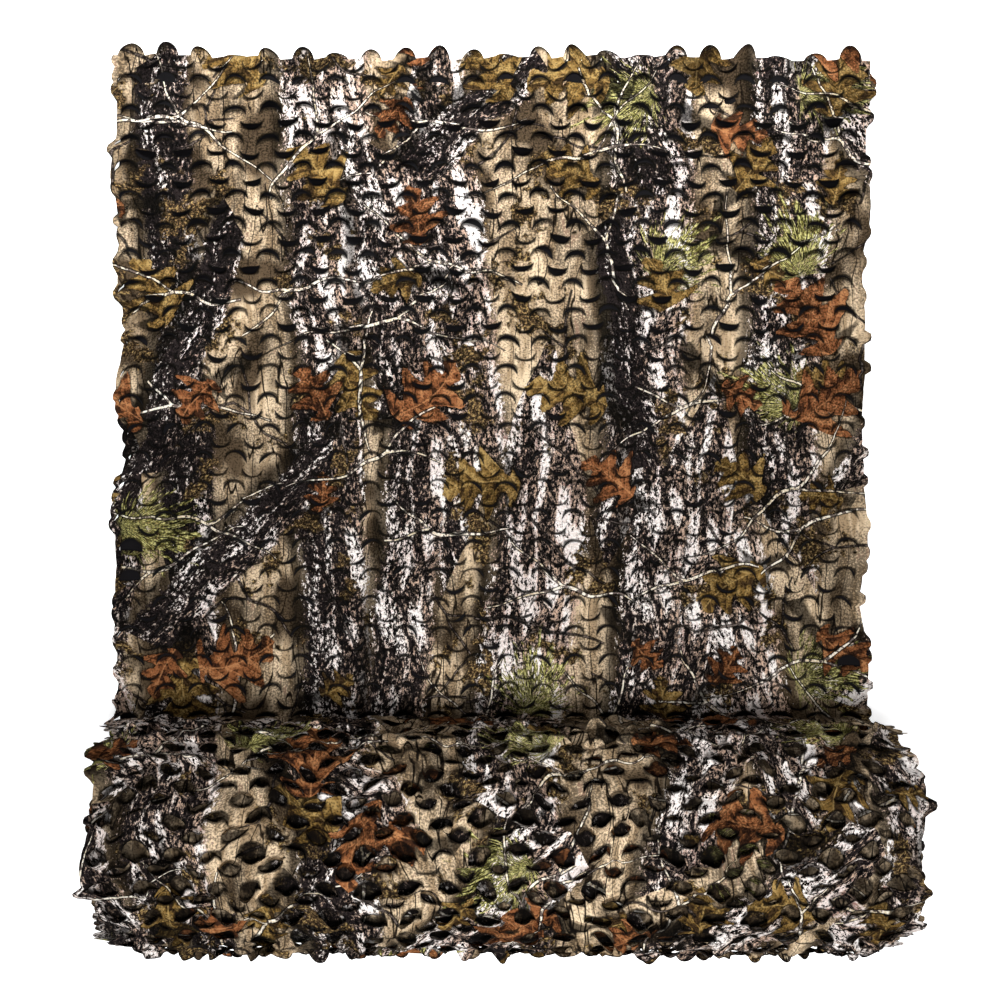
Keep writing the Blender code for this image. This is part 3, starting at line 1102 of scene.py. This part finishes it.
@dataclass(frozen=True)
class PrintInks:
    """The inks of the woodland print."""

    ground_light: tuple = paint(192, 172, 145)
    ground_mid: tuple = paint(140, 120, 95)
    ground_dark: tuple = paint(70, 58, 44)
    shade: tuple = paint(10, 8, 6)
    litter_dark: tuple = paint(34, 27, 20)
    litter_mid: tuple = paint(84, 66, 44)
    litter_light: tuple = paint(150, 128, 84)
    bark_black: tuple = paint(8, 7, 8)
    bark_dark: tuple = paint(32, 27, 27)
    bark_grey: tuple = paint(96, 86, 82)
    bark_tan: tuple = paint(176, 150, 132)
    bark_pale: tuple = paint(229, 222, 219)
    rust: tuple = paint(114, 71, 43)
    rust_dark: tuple = paint(48, 29, 19)
    rust_light: tuple = paint(154, 108, 72)
    ochre: tuple = paint(106, 83, 44)
    ochre_dark: tuple = paint(50, 37, 22)
    ochre_light: tuple = paint(148, 124, 78)
    green: tuple = paint(102, 98, 46)
    green_dark: tuple = paint(38, 38, 18)
    green_pale: tuple = paint(178, 174, 118)
    twig: tuple = paint(222, 214, 200)


INKS = PrintInks()


@dataclass(frozen=True)
class Strewing:
    """How one motif is strewn: metres from one to the next, shift of the layout, slant, and how many."""

    cell: tuple[float, float]
    shift: tuple[float, float]
    turn: float
    spread: float
    share: float


class Strewn(Enum):
    """How each layer of motifs is strewn over the cloth."""

    TALL_TRUNKS = Strewing(cell=(0.29, 0.95), shift=(0.11, 0.3), turn=0.0, spread=0.34, share=0.90)
    FALLEN_TRUNKS = Strewing(cell=(0.50, 0.50), shift=(0.37, 0.9), turn=0.0, spread=1.9, share=0.94)
    TUFTS = Strewing(cell=(0.27, 0.29), shift=(9.2, 8.4), turn=0.0, spread=4.0, share=0.40)
    OCHRE_LEAVES = Strewing(cell=(0.17, 0.21), shift=(3.1, 1.7), turn=0.6, spread=6.28, share=0.35)
    RUST_LEAVES = Strewing(cell=(0.20, 0.18), shift=(5.4, 4.1), turn=0.6, spread=6.28, share=0.41)
    DARK_TWIGS = Strewing(cell=(0.15, 0.19), shift=(4.4, 7.3), turn=0.3, spread=5.0, share=0.66)
    PALE_TWIGS = Strewing(cell=(0.26, 0.30), shift=(7.7, 2.2), turn=-0.9, spread=2.6, share=0.70)
    LONG_TWIGS = Strewing(cell=(0.44, 0.34), shift=(1.3, 6.1), turn=1.1, spread=1.6, share=0.60)


def scatter_group() -> bpy.types.NodeTree:
    """Group that strews one motif over the cloth: each cell has a turned set of axes of its own.

    Returns:
        The group.
    """
    bench, given, wanted = new_group(
        "strewn_motifs",
        {"Cloth": "Vector", "Cell": "Vector", "Shift": "Vector", "Turn": "Float", "Spread": "Float"},
        {"Place": "Vector", "Chance": "Color"},
    )
    moved = bench.vector("ADD", given["Cloth"], given["Shift"])
    scaled = bench.vector("DIVIDE", moved, given["Cell"])
    cells = bench.add("TexVoronoi", voronoi_dimensions="2D", feature="F1")
    bench.feed(cells.inputs["Vector"], scaled)
    cells.inputs["Scale"].default_value = 1.0
    cells.inputs["Randomness"].default_value = 0.72
    from_middle = bench.vector("SUBTRACT", scaled, cells.outputs["Position"])
    metres = bench.vector("MULTIPLY", from_middle, given["Cell"])
    chance = bench.add("SeparateColor")
    bench.feed(chance.inputs[0], cells.outputs["Color"])
    centred = bench.minus(chance.outputs[0], 0.5)
    angle = bench.scaled(centred, given["Spread"], given["Turn"])
    turned = bench.add("VectorRotate", rotation_type="Z_AXIS")
    bench.feed(turned.inputs["Vector"], metres)
    bench.feed(turned.inputs["Angle"], angle)
    bench.feed(wanted["Place"], turned.outputs[0])
    bench.feed(wanted["Chance"], cells.outputs["Color"])
    return bench.tree


def leaf_group() -> bpy.types.NodeTree:
    """Group that draws one toothed, pointed leaf with its ribs, lying along its own Y.

    Returns:
        The group.
    """
    bench, given, wanted = new_group(
        "printed_leaf",
        {"Place": "Vector", "Length": "Float", "Width": "Float", "Teeth": "Float", "Ragged": "Float"},
        {"Inside": "Float", "Near": "Float", "Midrib": "Float", "Relief": "Float"},
    )
    x, y, _ = bench.split(given["Place"])
    x = bench.scaled(bench.times(y, y), 2.2, x)
    side = bench.size(x)
    share = bench.over(y, bench.times(given["Length"], 0.5))
    square = bench.times(share, share)
    body = bench.math("POWER", bench.minus(1.0, square, clamp=True), 0.8)
    fuller = bench.scaled(share, -0.34, 1.0)
    slanted = bench.scaled(side, -5.0, share)
    lean = bench.scaled(bench.math("SIGN", x), 0.5, bench.times(slanted, 10.5))
    toothed = bench.scaled(bench.math("SINE", lean), given["Teeth"], 1.0)
    wide = bench.times(bench.times(body, fuller), toothed)
    wide = bench.times(wide, bench.times(given["Width"], 0.5))
    rough = bench.times(bench.minus(given["Ragged"], 0.5), 0.026)
    left = bench.plus(bench.minus(wide, side), bench.times(rough, body))
    bench.feed(wanted["Inside"], bench.between(left, 0.0, 0.0012))
    bench.feed(wanted["Near"], bench.between(bench.scaled(y, -0.12, left), -0.012, 0.0))
    bench.feed(wanted["Midrib"], bench.between(side, 0.0022, 0.0006))
    slant = bench.scaled(side, -0.9, y)
    band = bench.math("FRACT", bench.over(slant, 0.023))
    bench.feed(wanted["Relief"], bench.scaled(bench.math("SIGN", x), 0.22, band))
    return bench.tree


def bark_group() -> bpy.types.NodeTree:
    """Group that draws a tree trunk along its own Y: a ragged band of dark and pale bark.

    Returns:
        The group.
    """
    bench, given, wanted = new_group(
        "printed_bark",
        {"Place": "Vector", "Half width": "Float", "Paleness": "Float"},
        {"Inside": "Float", "Colour": "Color"},
    )
    x, y, _ = bench.split(given["Place"])
    sway = bench.noise(bench.joined(bench.times(y, 0.30), 0.0), 12.0, 1.0)
    x = bench.scaled(bench.minus(sway, 0.5), 0.05, x)
    across = bench.over(x, given["Half width"])
    flakes = bench.noise(bench.joined(x, bench.times(y, 0.55)), 150.0, 3.0, 0.80)
    broad = bench.noise(bench.joined(x, bench.times(y, 0.22)), 34.0, 1.0, 0.55)
    edge = bench.scaled(flakes, 0.9, bench.minus(0.56, bench.size(across)))
    bench.feed(wanted["Inside"], bench.between(edge, 0.0, 0.03))
    value = bench.scaled(bench.minus(broad, 0.5), 0.42, flakes)
    value = bench.scaled(across, 0.055, value)
    value = bench.scaled(bench.minus(given["Paleness"], 0.5), 0.16, value)
    furrow = bench.size(bench.minus(broad, 0.47))
    value = bench.minus(value, bench.times(bench.between(furrow, 0.035, 0.0), 0.10))
    pale = bench.fade(broad, 0.44, 0.60, INKS.bark_tan, INKS.bark_pale)
    dark = bench.fade(flakes, 0.36, 0.52, INKS.bark_black, INKS.bark_dark)
    middle = bench.fade(value, 0.50, 0.56, dark, INKS.bark_grey)
    bench.feed(wanted["Colour"], bench.fade(value, 0.542, 0.622, middle, pale))
    return bench.tree


class WoodlandPrint:
    """The generic woodland print: ground streaks, trunks, litter, strewn leaves, blade tufts and twigs."""

    TWIG = 0.0029
    THIN_TWIG = 0.0016
    CAST = 0.024

    def __init__(self) -> None:
        """Starts the node group that turns a place on the cloth into a colour."""
        self.bench, given, self.wanted = new_group("woodland_print", {"Cloth": "Vector"}, {"Colour": "Color"})
        self.cloth = given["Cloth"]
        self.scatter, self.leaf, self.bark = scatter_group(), leaf_group(), bark_group()
        self.x, self.y, _ = self.bench.split(self.cloth)
        self.ragged = self.bench.noise(self.cloth, 78.0, 2.0, 0.65)
        self.blotches = self.bench.noise(self.cloth, 40.0, 3.0, 0.62)

    def group(self) -> bpy.types.NodeTree:
        """Prints one layer over another.

        Returns:
            The finished node group.
        """
        ochres = (INKS.ochre_dark, INKS.ochre, INKS.ochre_light)
        rusts = (INKS.rust_dark, INKS.rust, INKS.rust_light)
        colour = self.ground()
        colour = self.trunks(colour, Strewn.TALL_TRUNKS, half_width=0.058)
        colour = self.litter(colour)
        colour = self.twigs(colour, Strewn.DARK_TWIGS, self.THIN_TWIG, INKS.bark_dark)
        colour = self.trunks(colour, Strewn.FALLEN_TRUNKS, half_width=0.045)
        colour = self.tufts(colour, Strewn.TUFTS)
        colour = self.leaves(colour, Strewn.OCHRE_LEAVES, (0.135, 0.078), ochres)
        colour = self.twigs(colour, Strewn.PALE_TWIGS, self.TWIG, INKS.twig)
        colour = self.leaves(colour, Strewn.RUST_LEAVES, (0.145, 0.088), rusts)
        colour = self.twigs(colour, Strewn.LONG_TWIGS, self.TWIG, INKS.twig)
        self.bench.feed(self.wanted["Colour"], self.bench.mix(0.75, colour, self.grain(), "OVERLAY"))
        return self.bench.tree

    def grain(self) -> Socket:
        """Fine light and dark unevenness of the whole print, about middle grey.

        Returns:
            Its colour.
        """
        bench = self.bench
        fine = bench.noise(self.cloth, 240.0, 1.0, 0.6)
        wide = bench.noise(self.cloth, 9.0, 1.0)
        value = bench.scaled(fine, 0.6, bench.times(wide, 0.4))
        return bench.fade(value, 0.36, 0.64, paint(66, 64, 62), paint(224, 222, 218))

    def strewn(self, how: Strewn) -> tuple[Socket, ...]:
        """Strews one motif.

        Args:
            how: How it is strewn.

        Returns:
            Place in the motif's own axes, whether the cell has one, and a chance from 0 to 1.
        """
        bench = self.bench
        layer = how.value
        node = bench.group(
            self.scatter,
            Cloth=self.cloth,
            Cell=(*layer.cell, 1.0),
            Shift=(*layer.shift, 0.0),
            Turn=layer.turn,
            Spread=layer.spread,
        )
        chance = bench.add("SeparateColor")
        bench.feed(chance.inputs[0], node.outputs["Chance"])
        there = bench.math("LESS_THAN", chance.outputs[1], layer.share)
        return node.outputs["Place"], there, chance.outputs[2]

    def ground(self) -> Socket:
        """Tan ground with soft upright streaks, dim hollows and thin dark reeds.

        Returns:
            Its colour.
        """
        bench = self.bench
        upright = bench.joined(self.x, bench.times(self.y, 0.16))
        streaks = bench.noise(upright, 46.0, 3.0, 0.6)
        hollows = bench.noise(bench.joined(self.x, bench.times(self.y, 0.55)), 9.0, 2.0, 0.55)
        colour = bench.fade(streaks, 0.36, 0.62, INKS.ground_mid, INKS.ground_light)
        colour = bench.fade(hollows, 0.47, 0.64, colour, INKS.ground_dark)
        bent = bench.joined(self.x, bench.times(self.y, 0.13))
        reeds = bench.size(bench.minus(bench.noise(bent, 24.0, 2.0), 0.5))
        return bench.fade(reeds, 0.018, 0.006, colour, INKS.litter_dark)

    def litter(self, colour: Socket) -> Socket:
        """Patches of fine leaf litter over a colour.

        Args:
            colour: Colour below.

        Returns:
            The colour with the litter.
        """
        bench = self.bench
        patches = bench.between(bench.noise(self.cloth, 7.5, 4.0, 0.72), 0.57, 0.62)
        flecks = bench.noise(bench.vector("ADD", self.cloth, (3.3, 5.7, 0.0)), 170.0, 2.0, 0.75)
        face = bench.fade(flecks, 0.44, 0.54, INKS.litter_dark, INKS.litter_mid)
        face = bench.fade(flecks, 0.56, 0.66, face, INKS.litter_light)
        return bench.mix(patches, colour, face)

    def trunks(self, colour: Socket, how: Strewn, half_width: float) -> Socket:
        """Tree trunks over a colour.

        Args:
            colour: Colour below.
            how: How they are strewn.
            half_width: Mean half width of a trunk.

        Returns:
            The colour with the trunks.
        """
        bench = self.bench
        place, there, chance = self.strewn(how)
        wide = bench.times(bench.scaled(chance, 0.8, 0.7), half_width)
        x, _, _ = bench.split(place)
        cast = bench.between(bench.size(bench.plus(x, 0.012)), bench.plus(wide, self.CAST), wide)
        colour = bench.mix(bench.times(bench.times(cast, there), 0.8), colour, INKS.shade)
        drawn = bench.group(self.bark, Place=place, Half_width=wide, Paleness=chance)
        return bench.mix(bench.times(drawn.outputs["Inside"], there), colour, drawn.outputs["Colour"])

    def leaves(self, colour: Socket, how: Strewn, size: tuple[float, float], inks: tuple) -> Socket:
        """Fallen leaves, dark round their edges, over a colour.

        Args:
            colour: Colour below.
            how: How they are strewn.
            size: Mean length and width of a leaf.
            inks: Dark, middle and light ink.

        Returns:
            The colour with the leaves.
        """
        bench = self.bench
        place, there, chance = self.strewn(how)
        grown = bench.scaled(chance, 0.80, 0.50)
        long, wide = (bench.times(grown, part) for part in size)
        drawn = bench.group(self.leaf, Place=place, Length=long, Width=wide, Teeth=0.54, Ragged=self.ragged)
        shadow = bench.times(bench.times(drawn.outputs["Near"], there), 0.85)
        colour = bench.mix(shadow, colour, INKS.shade)
        tone = bench.scaled(bench.minus(drawn.outputs["Relief"], 0.5), 0.20, self.blotches)
        tone = bench.scaled(bench.minus(chance, 0.5), 0.10, tone)
        face = bench.fade(tone, 0.36, 0.54, inks[0], inks[1])
        face = bench.mix(bench.times(bench.between(tone, 0.55, 0.72), 0.8), face, inks[2])
        face = bench.mix(bench.times(drawn.outputs["Midrib"], 0.6), face, inks[2])
        return bench.mix(bench.times(drawn.outputs["Inside"], there), colour, face)

    def tufts(self, colour: Socket, how: Strewn) -> Socket:
        """Fans of green blades over a colour.

        Args:
            colour: Colour below.
            how: How they are strewn.

        Returns:
            The colour with the tufts.
        """
        bench = self.bench
        place, there, _ = self.strewn(how)
        x, y, _ = bench.split(bench.vector("ADD", place, (0.0, 0.075, 0.0)))
        out = bench.math("SQRT", bench.scaled(x, x, bench.times(y, y)))
        angle = bench.math("ARCTAN2", x, y)
        fanned = bench.joined(angle, bench.times(out, 1.6))
        blades = bench.noise(fanned, 9.0, 2.0, 0.65)
        narrower = bench.scaled(bench.size(angle), -0.075, 0.035)
        reach = bench.scaled(blades, 0.22, narrower)
        fine = bench.noise(fanned, 34.0, 2.0, 0.65)
        green = bench.fade(fine, 0.42, 0.52, INKS.green_dark, INKS.green)
        green = bench.fade(fine, 0.53, 0.62, green, INKS.green_pale)
        inside = bench.times(bench.between(bench.minus(reach, out), 0.0, 0.004), there)
        cover = bench.times(inside, bench.between(fine, 0.38, 0.45))
        return bench.mix(cover, colour, green)

    def twigs(self, colour: Socket, how: Strewn, thickness: float, ink: tuple) -> Socket:
        """Forked twigs with a dark underside over a colour.

        Args:
            colour: Colour below.
            how: How they are strewn.
            thickness: Half thickness at the fork, in metres.
            ink: Their light ink.

        Returns:
            The colour with the twigs.
        """
        bench = self.bench
        place, there, chance = self.strewn(how)
        x, y, _ = bench.split(place)
        along = bench.scaled(chance, 9.0, y)
        sway = bench.minus(bench.noise(bench.joined(along, 0.0), 7.0, 1.0, 0.4), 0.5)
        bent = bench.scaled(sway, 0.07, x)
        branch = bench.times(bench.minus(y, 0.02, clamp=True), 0.55)
        fork = bench.size(bench.minus(bench.size(bent), branch))
        thick = bench.scaled(bench.size(y), -4.6 * thickness, thickness)
        off = bench.minus(fork, thick)
        dark = bench.times(bench.between(off, 0.0032, 0.0014), there)
        colour = bench.mix(bench.times(dark, 0.85), colour, INKS.shade)
        face = bench.fade(self.ragged, 0.44, 0.52, INKS.bark_grey, ink)
        return bench.mix(bench.times(bench.between(off, 0.0006, -0.0006), there), colour, face)


@dataclass(frozen=True)
class ClothFinish:
    """What the cloth's two finishes share: a dull material over a fine woven bump, dimmed with painted shade
    where set.
    """

    name: str
    # Share of the finish's own colour that is kept; below 1 the rest is painted shade.
    painted_dimming: float = 1.0
    roughness: float = 0.9
    shine: float = 0.05
    bump: float = 0.3
    thread_height: float = 0.0004

    def material(self, *groups: bpy.types.NodeTree) -> bpy.types.Material:
        """Makes the material.

        Args:
            *groups: The groups that its colour is made with. The weave's group is the last.

        Returns:
            The material.
        """
        material = bpy.data.materials.new(self.name)
        material.use_nodes = True
        bench = NodeBench(material.node_tree)
        shader = material.node_tree.nodes["Principled BSDF"]
        place = bench.add("UVMap", uv_map="cloth").outputs[0]
        woven = bench.group(groups[-1], Cloth=place).outputs["Height"]
        bench.feed(shader.inputs["Base Color"], self.colour(bench, place, woven, *groups))
        shader.inputs["Roughness"].default_value = self.roughness
        shader.inputs["Specular IOR Level"].default_value = self.shine
        bump = bench.add("Bump")
        bump.inputs["Strength"].default_value = self.bump
        bump.inputs["Distance"].default_value = self.thread_height
        bench.feed(bump.inputs["Height"], woven)
        bench.feed(shader.inputs["Normal"], bump.outputs[0])
        return material

    def colour(self, bench: NodeBench, place: Socket, woven: Socket, *groups: bpy.types.NodeTree) -> Socket:
        """Colour of the finish. Each finish gives its own."""
        raise NotImplementedError


@dataclass(frozen=True)
class PrintedFace(ClothFinish):
    """The cloth's printed side: the print, with painted shade along its cuts and, where set, where little
    light gets.
    """

    roughness: float = 0.86
    shine: float = 0.03
    bump: float = 0.35
    painted_dimming_at_ends: float = 1.0
    # Painted shade along the cuts: a dark line where the slits and the leaf tips would lie in shade.
    paints_cut_shade: bool = True
    cut_shade_colour: tuple = paint(10, 8, 6)
    shade: tuple = paint(8, 6, 5)

    def colour(self, bench: NodeBench, place: Socket, woven: Socket, *groups: bpy.types.NodeTree) -> Socket:
        """The print, with painted shade where little light gets and painted shade along the cuts.

        Args:
            bench: Bench on the material.
            place: Place on the cloth.
            woven: Height of the weave. Not used here.
            *groups: The print's group and the weave's.

        Returns:
            The colour.
        """
        colour = bench.group(groups[0], Cloth=place).outputs["Colour"]
        # Painted shade: the print is dimmed towards the shade colour, less at the roll's ends and in random
        # painted lit patches.
        if self.painted_dimming < 1:
            aside = bench.size(bench.split(place)[0])
            at_ends = bench.between(aside, LATTICE.width / 2 - 0.03, LATTICE.width / 2)
            dim = bench.scaled(at_ends, self.painted_dimming - self.painted_dimming_at_ends, 1 - self.painted_dimming)
            lit = bench.between(bench.noise(place, 48.0, 1.0), 0.46, 0.62)
            dim = bench.scaled(lit, -0.30, bench.plus(dim, 0.09), clamp=True)
            colour = bench.mix(dim, colour, self.shade)
        # Painted shade along the cuts, from the stored distance to the nearest cut.
        if self.paints_cut_shade:
            cut = bench.add("Attribute", attribute_type="GEOMETRY", attribute_name="cut_shade_distance")
            line = bench.minus(1.0, bench.between(cut.outputs["Fac"], 0.0014, 0.0046))
            colour = bench.mix(bench.times(line, 0.88), colour, self.cut_shade_colour)
        return colour


@dataclass(frozen=True)
class BareBack(ClothFinish):
    """The cloth's unprinted side: pale lavender-grey weave, dimmed with painted shade where little light
    gets.
    """

    thread_dark: tuple = paint(150, 152, 172)
    thread_pale: tuple = paint(196, 198, 216)
    hollow: tuple = paint(120, 122, 140)
    shade: tuple = paint(20, 17, 16)

    def colour(self, bench: NodeBench, place: Socket, woven: Socket, *groups: bpy.types.NodeTree) -> Socket:
        """The bare threads, dimmed towards the painted shade colour.

        Args:
            bench: Bench on the material.
            place: Place on the cloth.
            woven: Height of the weave.
            *groups: The weave's group. Not used here.

        Returns:
            The colour.
        """
        colour = bench.mix(bench.noise(place, 30.0, 1.0), self.thread_dark, self.thread_pale)
        colour = bench.mix(bench.times(woven, 0.2), colour, self.hollow)
        # Painted shade: the threads are mixed towards the shade colour.
        return bench.mix(1 - self.painted_dimming, colour, self.shade) if self.painted_dimming < 1 else colour


def weave_group() -> bpy.types.NodeTree:
    """Group that gives the height of a plain woven cloth, 0.9 mm from thread to thread.

    Returns:
        The group.
    """
    bench, given, wanted = new_group("plain_weave", {"Cloth": "Vector"}, {"Height": "Float"})
    x, y, _ = bench.split(given["Cloth"])
    threads = 2 * math.pi / 0.0018
    warp = bench.math("SINE", bench.times(x, threads))
    weft = bench.math("SINE", bench.times(y, threads))
    bench.feed(wanted["Height"], bench.scaled(bench.times(warp, weft), 0.5, 0.5))
    return bench.tree


# ---------------------------------------------------------------- studio


@dataclass(frozen=True)
class SoftLight:
    """An oblong light: where it stands, what it faces, its sides, its watts and its beam's full angle."""

    name: str
    place: Place
    target: Place
    size: tuple[float, float]
    power: float
    beam: float

    def build(self) -> None:
        """Hangs the light in the studio."""
        data = bpy.data.lights.new(self.name, "AREA")
        data.shape, data.energy = "RECTANGLE", self.power
        data.size, data.size_y = self.size
        data.spread = math.radians(self.beam)
        light = bpy.data.objects.new(self.name, data)
        light.location = self.place
        light.rotation_mode = "QUATERNION"
        light.rotation_quaternion = (Vector(self.target) - Vector(self.place)).to_track_quat("-Z", "Y")
        bpy.context.scene.collection.objects.link(light)


LIGHTS = (
    SoftLight("key_light", (0.1, -0.90, 3.0), (0.0, -0.70, 0.2), (1.2, 0.6), power=25.0, beam=84.0),
    SoftLight("fill_light", (-0.3, 2.6, 2.9), (-0.1, 0.84, 0.0), (2.4, 0.6), power=14.8, beam=28.0),
)


@dataclass
class Studio:
    """The plain pale floor, the soft lights and the camera straight above."""

    floor_size: float = 14.0
    floor_ink: tuple = paint(244, 244, 245)
    floor_glow: float = 0.74
    surround: float = 0.14
    camera_place: Place = (0.014, -0.048, 3.0)
    lens: float = 53.59

    def build(self) -> None:
        """Makes all of it."""
        scene = bpy.context.scene
        scene.view_settings.view_transform = "Standard"
        self.floor()
        for light in LIGHTS:
            light.build()
        world = bpy.data.worlds.new("studio")
        world.use_nodes = True
        background = world.node_tree.nodes["Background"]
        background.inputs[0].default_value = (1.0, 1.0, 1.0, 1.0)
        background.inputs[1].default_value = self.surround
        scene.world = world
        data = bpy.data.cameras.new("camera")
        data.lens, data.sensor_width = self.lens, 36.0
        camera = bpy.data.objects.new("camera", data)
        camera.location = self.camera_place
        scene.collection.objects.link(camera)
        scene.camera = camera

    def floor(self) -> None:
        """Makes the floor."""
        bm = bmesh.new()
        bmesh.ops.create_grid(bm, x_segments=2, y_segments=2, size=self.floor_size / 2)
        mesh = bpy.data.meshes.new("floor")
        bm.to_mesh(mesh)
        bm.free()
        floor = bpy.data.objects.new("floor", mesh)
        bpy.context.scene.collection.objects.link(floor)
        material = bpy.data.materials.new("floor_paint")
        material.use_nodes = True
        shader = material.node_tree.nodes["Principled BSDF"]
        shader.inputs["Base Color"].default_value = self.floor_ink
        shader.inputs["Roughness"].default_value = 0.95
        shader.inputs["Specular IOR Level"].default_value = 0.1
        shader.inputs["Emission Color"].default_value = (1.0, 1.0, 1.0, 1.0)
        shader.inputs["Emission Strength"].default_value = self.floor_glow
        mesh.materials.append(material)


def dress(
    piece: bpy.types.Object,
    face: bpy.types.Material,
    back: bpy.types.Material,
    flat: tuple[float, float],
) -> None:
    """Gives a piece of the net its two finishes and says what it is.

    Args:
        piece: The piece.
        face: Finish of its printed side.
        back: Finish of its back.
        flat: Width and length that it was cut to, in metres.
    """
    piece.data.materials.append(face)
    piece.data.materials.append(back)
    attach(piece, "root")
    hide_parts("camouflage_net")
    LOG.info("%s: %d faces, flat %.2f x %.2f m", piece.name, len(piece.data.polygons), *flat)


def main() -> None:
    """Builds the net on its stage."""
    logging.basicConfig(level=logging.INFO, format="%(name)s %(message)s")
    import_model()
    Studio().build()
    woodland, weave = WoodlandPrint().group(), weave_group()
    face = PrintedFace("printed_face").material(woodland, weave)
    back = BareBack("bare_back").material(weave)
    # Painted shade in the finishes: the inner turns and the inner backs are dimmed where the roll would shade
    # them, less at the roll's ends.
    inner_face = PrintedFace("inner_face", painted_dimming=0.20, painted_dimming_at_ends=0.6, paints_cut_shade=False)
    inner_face = inner_face.material(woodland, weave)
    inner_back = BareBack("inner_back", painted_dimming=0.30).material(weave)
    # The under layer's face is painted almost wholly as shade, so the open cuts above show dark.
    under_face = BareBack("shaded_face", painted_dimming=0.01, shade=paint(8, 6, 5)).material(weave)
    roll = Roll()
    drape = Drape(roll, roll.cloth_path())
    laid, outer = LaidCloth(drape), OuterTurn(drape)
    dress(laid.build(), face, back, (LATTICE.width, LAID_LINES * LATTICE.line))
    dress(outer.build(), face, back, (LATTICE.width, TURN_LINES * LATTICE.line))
    wound = WoundTurns(roll)
    dress(wound.build(), inner_face, inner_back, (LATTICE.width, wound.length))
    under = UnderLayer(roll)
    dress(under.build(), under_face, inner_back, under.flat)


if __name__ == "__main__":
    main()
